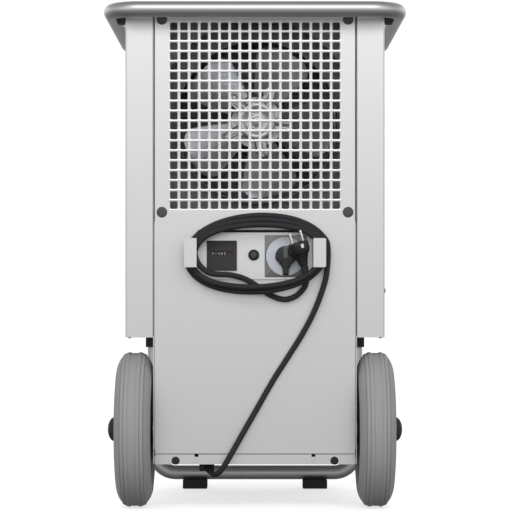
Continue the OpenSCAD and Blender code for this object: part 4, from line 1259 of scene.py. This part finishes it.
class ControlOperator(bpy.types.Operator):
    """Hour meter, reset switch, dial and knob on their plate, and the parts behind it"""
    bl_idname = "dehumidifier.controls"
    bl_label = "Controls"

    def execute(self, context):
        controls = context.scene.dehumidifier_controls
        softened("hour_meter", "meter_plastic", 0.5 * MM)
        self.counter(controls)
        self.reset()
        self.dial(controls)
        self.knob()
        # The gasket's black strip showing above the plate's top edge is partly the real seal and partly painted shadow
        # under the cord winding.
        dress("black_rubber", "plate_gasket")
        dress("dark_steel", "electrical_box")
        dress("cast_aluminium", "run_capacitor")
        return {"FINISHED"}

    @staticmethod
    def counter(controls):
        """Black drums in the meter's window, with white digits and two red ones."""
        centre_x, centre_z, floor = -53.0, 409.3, 5.55
        drums = []
        count = len(controls.digits) + len(controls.tenths)
        drums_width, digit_size = 33.0, 5.2
        pitch = drums_width / count
        t = np.linspace(-0.5, 0.5, 7)
        for i in range(count):
            x = centre_x + (i - (count - 1) / 2) * pitch
            arc = np.column_stack([floor - 1.1 + 1.3 * np.cos(t * 2), centre_z + 3.0 * np.sin(t * math.pi)])
            rows = [np.array([behind(x + s * pitch * 0.46, d, z) for d, z in arc]) for s in (-1, 1)]
            base = [np.array([behind(x + s * pitch * 0.46, floor - 1.4, z) for d, z in arc]) for s in (-1, 1)]
            drums.append(grid(np.array([base[0], rows[0], rows[1], base[1], base[0]])))
        piece("meter_drums", joined(*drums), "drum_black_and_shadow")
        for name, text, first, material in (("meter_hours", controls.digits, 0, "digit_white"),
                                            ("meter_tenths", controls.tenths, len(controls.digits), "digit_red")):
            letters = []
            for k, letter in enumerate(text):
                x = centre_x + (first + k - (count - 1) / 2) * pitch
                letters.append(figure(letter, digit_size, x, floor + 0.28, centre_z))
            piece(name, joined(*letters), material)

    @staticmethod
    def reset():
        """The switch: a gloss collar with a rolled lip, and the domed button inside it."""
        low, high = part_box("reset_housing")
        x, z = (low.x + high.x) / 2, (low.z + high.z) / 2
        collar = np.array([(5.3, 6), (5.3, 8.6), (5.7, 9.1), (6.4, 9.2), (7.2, 8.9), (7.9, 8.2), (8.5, 7.0), (9, 5.2),
                           (9, 3.5), (7.5, 3.5), (7.5, -30), (0, -30), (0, -12), (5.3, -12), (5.3, 6)]) * MM
        piece("reset_switch_collar", lathe(collar, (x, REAR, z), (0, -1, 0), 64), "plug_rubber",
              stands_for=("reset_housing",))
        button = np.array([(0, 10), (2.0, 9.9), (3.6, 9.5), (4.5, 9.0), (4.95, 8.2), (4.95, -8), (0, -8)]) * MM
        piece("reset_button_finished", lathe(button, (x, REAR, z), (0, -1, 0), 48), "grey_plastic", "button",
              ("reset_button",))

    @staticmethod
    def dial(controls):
        """Square plate, a round scale disc with a thin black ring on the plate round its rim as painted shadow, and
        short ticks.
        """
        x, z = 49.0, 405.0
        outline = round_rectangle((x * MM, z * MM), (33.5 * MM, 33.5 * MM), 2 * MM)
        piece("dial_plate_square", slab(outline, REAR - 5 * MM, REAR - 3.5 * MM, 0.5 * MM), "dial_plate")
        axis = behind(x, 0, z)
        # A thin black disc on the plate's face, a little wider than the scale disc: painted shadow round the disc's
        # rim.
        shadow = np.array([(0, 5.0), (32.3, 5.0), (32.3, 5.12), (0, 5.12)]) * MM
        piece("dial_rim_painted_shadow", lathe(shadow, axis, (0, -1, 0), 96), "drum_black_and_shadow")
        disc = np.array([(3.4, 4.6), (31.2, 4.6), (31.5, 5.6), (31.2, 6.3), (30.6, 6.5), (3.4, 6.5), (3.4, 4.6)]) * MM
        piece("dial_disc", lathe(disc, axis, (0, -1, 0), 96), "dial_plastic", stands_for=("dial_scale",))
        ticks = []
        for k in range(controls.ticks):
            a = math.radians(45 + 270 * k / (controls.ticks - 1))
            out, across = np.array([-math.sin(a), -math.cos(a)]), np.array([math.cos(a), -math.sin(a)])
            reach = 3.2 if k % 5 == 0 else 2.0
            corners = [out * r + across * w for r, w in
                       ((29.2, -0.2), (29.2, 0.2), (29.2 - reach, 0.2), (29.2 - reach, -0.2))]
            mark = np.array([(x + c[0], z + c[1]) for c in corners]) * MM
            ticks.append(slab(mark, REAR - 6.58 * MM, REAR - 6.3 * MM, 0.02 * MM))
        piece("dial_ticks", joined(*ticks), "knob_pointer")

    @staticmethod
    def knob():
        """Drop-shaped knob: a round body that narrows to a pointing stem, its top edge rounded and slightly domed."""
        x, z, body_r, stem, foot = 49.0, 405.0, 16.6, 4.6, -30.5
        t = np.radians(np.linspace(90, -22, 22))
        bulb = np.column_stack([body_r * np.cos(t), body_r * np.sin(t)])
        s = np.linspace(0, 1, 14)[1:]
        neck_z = bulb[-1, 1] + (-23 - bulb[-1, 1]) * s
        neck_x = stem + 0.6 * (1 - s) + (bulb[-1, 0] - stem - 0.6) * (1 - s)**1.7
        q = np.radians(np.linspace(0, 90, 6))
        end = np.column_stack([stem - 1.2 + 1.2 * np.cos(q), foot + 1.2 - 1.2 * np.sin(q)])
        half = np.concatenate([bulb, np.column_stack([neck_x, neck_z]), end, [(0, foot)]])
        outline = np.concatenate([half, (half * (-1, 1))[::-1][1:]])
        sides = [(6.8, 0.0), (11.8, 0.05), (13.0, 0.35), (13.7, 0.9), (14.0, 1.8), (14.15, 3.2)]
        along = unit(np.roll(outline, -1, axis=0) - np.roll(outline, 1, axis=0))
        inward = np.stack([along[:, 1], -along[:, 0]], axis=1)
        if (inward[10] * outline[10]).sum() > 0:
            inward = -inward
        rings = []
        for depth, inset in [(6.8, None)] + sides + [(14.25, None)]:
            ring = outline + (inset or 0) * inward
            if inset is None:
                ring = np.column_stack([np.zeros(len(outline)), np.clip(outline[:, 1], -26, 8)])
            rings.append(np.array([behind(x + p[0], depth, z + p[1]) for p in ring]))
        rings = np.array(rings)
        rings = np.concatenate([rings, rings[:, :1]], axis=1)
        body = grid(rings)
        shaft = lathe(np.array([(0, 6.9), (2.95, 6.9), (2.95, -12), (0, -12)]) * MM, behind(x, 0, z), (0, -1, 0), 32)
        piece("dial_knob_body", joined(body, shaft), "black_gloss", "knob", ("dial_knob",), angle=60)
        ridge = round_rectangle((x * MM, (z + 6.5) * MM), (3.5 * MM, 9.3 * MM), 1.2 * MM)
        piece("dial_knob_pointer", slab(ridge, REAR - 16 * MM, REAR - 13.6 * MM, 0.5 * MM), "knob_pointer", "knob")


def figure(text, size, x, depth, z):
    """A digit as a thin raised mesh that faces -Y, centred on its place; sizes in millimetres."""
    curve = bpy.data.curves.new("digit_outline", "FONT")
    curve.body, curve.size, curve.extrude = text, size * MM, 0.06 * MM
    curve.align_x, curve.resolution_u = "CENTER", 2
    holder = bpy.data.objects.new("digit_holder", curve)
    bpy.context.scene.collection.objects.link(holder)
    bpy.context.view_layer.update()
    mesh = bpy.data.meshes.new_from_object(holder)
    bpy.data.objects.remove(holder)
    flat = np.empty(len(mesh.vertices) * 3)
    mesh.vertices.foreach_get("co", flat)
    flat = flat.reshape(-1, 3)
    flat[:, 1] -= (flat[:, 1].min() + flat[:, 1].max()) / 2
    flat[:, 0] -= (flat[:, 0].min() + flat[:, 0].max()) / 2
    points = behind(x, depth, z) + np.column_stack([flat[:, 0], -flat[:, 2], flat[:, 1]])
    faces = [np.array([list(polygon.vertices)]) for polygon in mesh.polygons]
    bpy.data.meshes.remove(mesh)
    return points, faces


class FastenerOperator(bpy.types.Operator):
    """Caps over the panel's screws and the casing's button-head screws"""
    bl_idname = "dehumidifier.fasteners"
    bl_label = "Fasteners"

    def execute(self, context):
        cap = np.array([(0, 2.4), (4.0, 2.35), (6.6, 2.1), (7.7, 1.7), (8.3, 1.0), (8.6, 0), (3.2, 0), (3.2, -3),
                        (0, -3)]) * MM
        cap_x, cap_heights = 149, (475.5, 784)
        spots = [(x, z) for x in (-cap_x, cap_x) for z in cap_heights]
        caps = [lathe(cap, behind(x, 0, z), (0, -1, 0), 48) for x, z in spots]
        piece("panel_caps_finished", joined(*caps), "grey_plastic", stands_for=("panel_caps",))
        softened("casing_screws", "black_steel", 0.35 * MM)
        return {"FINISHED"}


# ---- Panel and registration ----

class DehumidifierPanel(bpy.types.Panel):
    """Lists the pieces of the dehumidifier"""
    bl_idname = "VIEW3D_PT_dehumidifier"
    bl_label = "Dehumidifier"
    bl_space_type = "VIEW_3D"
    bl_region_type = "UI"
    bl_category = "Dehumidifier"

    def draw(self, context):
        for operator in OPERATORS:
            self.layout.operator(operator.bl_idname)


OPERATORS = (StudioOperator, CordOperator, SheetOperator, TubeOperator, WheelOperator, FanOperator, CoilOperator,
             TankOperator, ControlOperator, FastenerOperator)
SETTINGS = {
    "dehumidifier_studio": StudioSettings, "dehumidifier_cord": CordSettings, "dehumidifier_sheet": SheetSettings,
    "dehumidifier_tubes": TubeSettings, "dehumidifier_wheels": WheelSettings, "dehumidifier_fan": FanSettings,
    "dehumidifier_controls": ControlSettings,
}


def register():
    """Registers the settings, the operators and the panel."""
    for name, group in SETTINGS.items():
        bpy.utils.register_class(group)
        setattr(bpy.types.Scene, name, bpy.props.PointerProperty(type=group))
    for item in (*OPERATORS, DehumidifierPanel):
        bpy.utils.register_class(item)


def unregister():
    """Takes back what register did."""
    for item in (DehumidifierPanel, *reversed(OPERATORS)):
        bpy.utils.unregister_class(item)
    for name, group in SETTINGS.items():
        delattr(bpy.types.Scene, name)
        bpy.utils.unregister_class(group)


def main():
    """Registers the add-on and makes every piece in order."""
    register()
    bpy.ops.dehumidifier.studio()
    bpy.ops.dehumidifier.cord()
    bpy.ops.dehumidifier.sheet_metal()
    bpy.ops.dehumidifier.tubes()
    bpy.ops.dehumidifier.wheels()
    bpy.ops.dehumidifier.fan()
    bpy.ops.dehumidifier.refrigerant_circuit()
    bpy.ops.dehumidifier.tank_and_filter()
    bpy.ops.dehumidifier.controls()
    bpy.ops.dehumidifier.fasteners()


if __name__ == "__main__":
    main()
